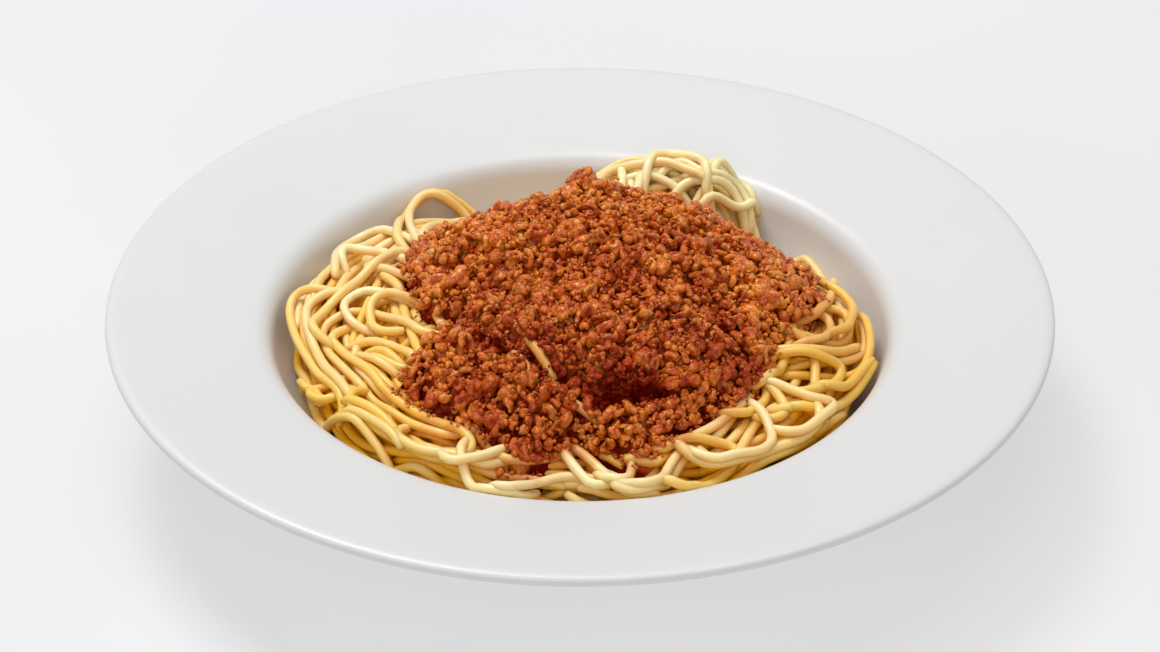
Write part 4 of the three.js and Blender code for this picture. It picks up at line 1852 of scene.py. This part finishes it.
    def crumbs(self, kind: Crumbs, centres: Array, size: Array, seed: int) -> MeshData:
        """Makes crumbs of balls: each is stretched and turned, and has round knobs with creases between.

        A point of the unit ball at p goes to size * R * (s * p) * (0.5 + 0.6 sqrt(1 - (1 - c) / w)), where
        c is the cosine of its angle to the nearest knob and w the knob's width.

        Args:
            kind: How the crumbs are made.
            centres: Centres of shape (n, 3).
            size: Radii.
            seed: Starts the draw.

        Returns:
            All crumbs as one body of loose parts.
        """
        rng = np.random.default_rng(seed)
        ball, ball_faces = unit_ball(kind.splits)
        n = len(size)
        knobs = rng.normal(size=(n, kind.knobs, 3))
        knobs /= np.linalg.norm(knobs, axis=-1, keepdims=True)
        near = np.einsum("nkc,vc->nkv", knobs, ball).max(axis=1)
        rise = np.sqrt(np.clip(1 - (1 - near) / kind.knob_width, 0, 1))
        stretch = np.exp(rng.normal(0, 0.27, (n, 3)))
        turn = random_turns(rng, n)
        shaped = ball[None] * stretch[:, None] * (0.5 + 0.6 * rise[:, :, None])
        shaped = np.einsum("nij,nvj->nvi", turn, shaped) * size[:, None, None]
        vertices = (centres[:, None] + shaped).reshape(-1, 3)
        faces = (ball_faces[None] + (np.arange(n) * len(ball))[:, None, None]).reshape(-1, 3)
        tone = np.clip(rng.normal(0.5, 0.24, n), 0.02, 1)
        plan = vertices.T[:2]
        # Painted shade: points below the local level, in the clefts, in the regions of painted shade and
        # between the knobs get depth.
        level = self.ground.level(7.0)[self.ground.cells(*plan)]
        wet_gloss_and_painted_shade = self.cleft_drop_and_shade * MOUND.cleft_depth(*plan) + bells_at(self.painted_shade_parts, *plan)
        buried = np.maximum(level + 0.3 - vertices[:, 2], 0) / self.shade_depth
        under = np.clip(buried + wet_gloss_and_painted_shade, 0, 0.95)
        depth = under + 0.6 * np.clip(0.8 - rise.ravel(), 0, 1)
        data = MeshData()
        data.add(vertices, [faces], tone=np.repeat(tone, len(ball)), depth=np.clip(depth, 0, 1))
        return data

    def build(self, material: bpy.types.Material, bed: MeshData) -> None:
        """Drops the crumbs on the bed and makes the pieces.

        Args:
            material: The meat sauce.
            bed: The bed of sauce, which is laid already.
        """
        mesh_piece("sauce_bed", bed, material, "bolognese")
        for number, kind in enumerate(CRUMBS):
            centres, size = self.drop(kind, 21 + number)
            data = self.crumbs(kind, centres, size, 31 + number)
            mesh_piece(kind.name, data, material, "bolognese")


def unit_ball(level: int) -> tuple[Array, Array]:
    """Gives an icosahedron, each face split in four as often as level says, on the unit ball.

    Args:
        level: How often the faces are split.

    Returns:
        Vertices of shape (n, 3) and triangles.
    """
    g = (1 + 5**0.5) / 2
    corners = [(-1, g, 0), (1, g, 0), (-1, -g, 0), (1, -g, 0), (0, -1, g), (0, 1, g)]
    corners += [(0, -1, -g), (0, 1, -g), (g, 0, -1), (g, 0, 1), (-g, 0, -1), (-g, 0, 1)]
    vertices = np.array(corners, float)
    vertices /= np.linalg.norm(vertices, axis=1, keepdims=True)
    gaps = np.linalg.norm(vertices[:, None] - vertices[None], axis=-1)
    near = (gaps > 0) & (gaps < 1.2)
    i, j, k = (a.ravel() for a in np.meshgrid(*[np.arange(12)] * 3, indexing="ij"))
    keep = (i < j) & (j < k) & near[i, j] & near[j, k] & near[i, k]
    faces = np.stack([i, j, k], -1)[keep]
    for _ in range(level):
        a, b, c = (vertices[faces[:, m]] for m in range(3))
        corners_of = np.stack([a, b, c, a + b, b + c, c + a], 1)
        corners_of /= np.linalg.norm(corners_of, axis=-1, keepdims=True)
        split = corners_of[:, [[0, 3, 5], [3, 1, 4], [5, 4, 2], [3, 4, 5]]].reshape(-1, 3)
        vertices, inverse = np.unique(split.round(6), axis=0, return_inverse=True)
        faces = inverse.reshape(-1, 3)
    a, b, c = (vertices[faces[:, m]] for m in range(3))
    inward = np.einsum("ij,ij->i", np.cross(b - a, c - a), a + b + c) < 0
    faces[inward] = faces[inward][:, ::-1]
    return vertices / np.linalg.norm(vertices, axis=1, keepdims=True), faces


def random_turns(rng: np.random.Generator, count: int) -> Array:
    """Draws turns as rotation matrices, from unit quaternions (w, x, y, z).

    Args:
        rng: Gives the draws.
        count: How many turns to draw.

    Returns:
        Matrices of shape (count, 3, 3).
    """
    q = rng.normal(size=(count, 4))
    w, x, y, z = (q / np.linalg.norm(q, axis=1, keepdims=True)).T
    rows = [
        [1 - 2 * (y * y + z * z), 2 * (x * y - z * w), 2 * (x * z + y * w)],
        [2 * (x * y + z * w), 1 - 2 * (x * x + z * z), 2 * (y * z - x * w)],
        [2 * (x * z - y * w), 2 * (y * z + x * w), 1 - 2 * (x * x + y * y)],
    ]
    return np.array(rows).transpose(2, 0, 1)


# The studio


@dataclass(frozen=True)
class SoftBox:
    """A square area light that looks at the plate."""

    name: str
    place: tuple[float, float, float]
    size: float
    power: float

    def build(self) -> None:
        """Adds the light, in metres and watts."""
        light = bpy.data.lights.new(self.name, "AREA")
        light.size = self.size
        light.energy = self.power
        lamp = linked(self.name, light)
        lamp.location = self.place
        away = Vector(self.place) - Vector((0, 0, 0.04))
        lamp.rotation_euler = away.to_track_quat("Z", "Y").to_euler()


@dataclass(frozen=True)
class Studio:
    """A pale table top, soft light and the photograph's camera."""

    table_half: float = 1.6
    sky: float = 0.43
    boxes: tuple[SoftBox, ...] = (
        SoftBox("back_softbox", (-0.45, 0.55, 1.4), 0.6, 12.5),
        SoftBox("top_softbox", (0.1, 0.1, 1.6), 0.9, 5.5),
        SoftBox("front_softbox", (-0.2, -1.3, 0.9), 1.0, 5.0),
    )

    def build(self, table: bpy.types.Material) -> None:
        """Adds the table top, the lights, the sky and the camera.

        Args:
            table: The table top's finish.
        """
        half = self.table_half
        corners = [(-half, -half, 0), (half, -half, 0), (half, half, 0), (-half, half, 0)]
        mesh = bpy.data.meshes.new("table_top")
        mesh.from_pydata(corners, [], [(0, 1, 2, 3)])
        mesh.materials.append(table)
        linked("table_top", mesh)
        for box in self.boxes:
            box.build()
        world = bpy.data.worlds.new("soft_sky")
        world.use_nodes = True
        background = world.node_tree.nodes["Background"].inputs
        background["Color"].default_value = (1.0, 1.0, 1.0, 1.0)
        background["Strength"].default_value = self.sky
        bpy.context.scene.world = world
        bpy.context.scene.view_settings.view_transform = "Standard"
        self.camera()

    def camera(self) -> None:
        """Adds the camera at the photograph's viewing point."""
        lens = bpy.data.cameras.new("photo_camera")
        lens.sensor_fit = "HORIZONTAL"
        lens.sensor_width = VIEW.sensor
        lens.lens = VIEW.focal * VIEW.sensor / VIEW.width
        lens.clip_start = 0.01
        camera = linked("photo_camera", lens)
        camera.location = VIEW.position * MM
        camera.rotation_euler = Vector(VIEW.back).to_track_quat("Z", "Y").to_euler()
        bpy.context.scene.camera = camera


def main() -> None:
    """Builds the plate, the spaghetti, the meat sauce and the studio; each piece logs its vertices and
    triangles.
    """
    groups = {"Mottle": mottle_group(), "Fine Grain": grain_group()}
    Studio().build(TableFinish().make(groups))
    Plate().build(PorcelainFinish().make(groups))
    ground = Field()
    heap = SpaghettiHeap(ground)
    heap.lay_all()
    sauce = MeatSauce(ground)
    bed = sauce.bed()
    heap.lay_peeking()
    sauce.build(MinceFinish().make(groups), bed)
    heap.build(PastaFinish().make(groups))


if __name__ == "__main__":
    main()
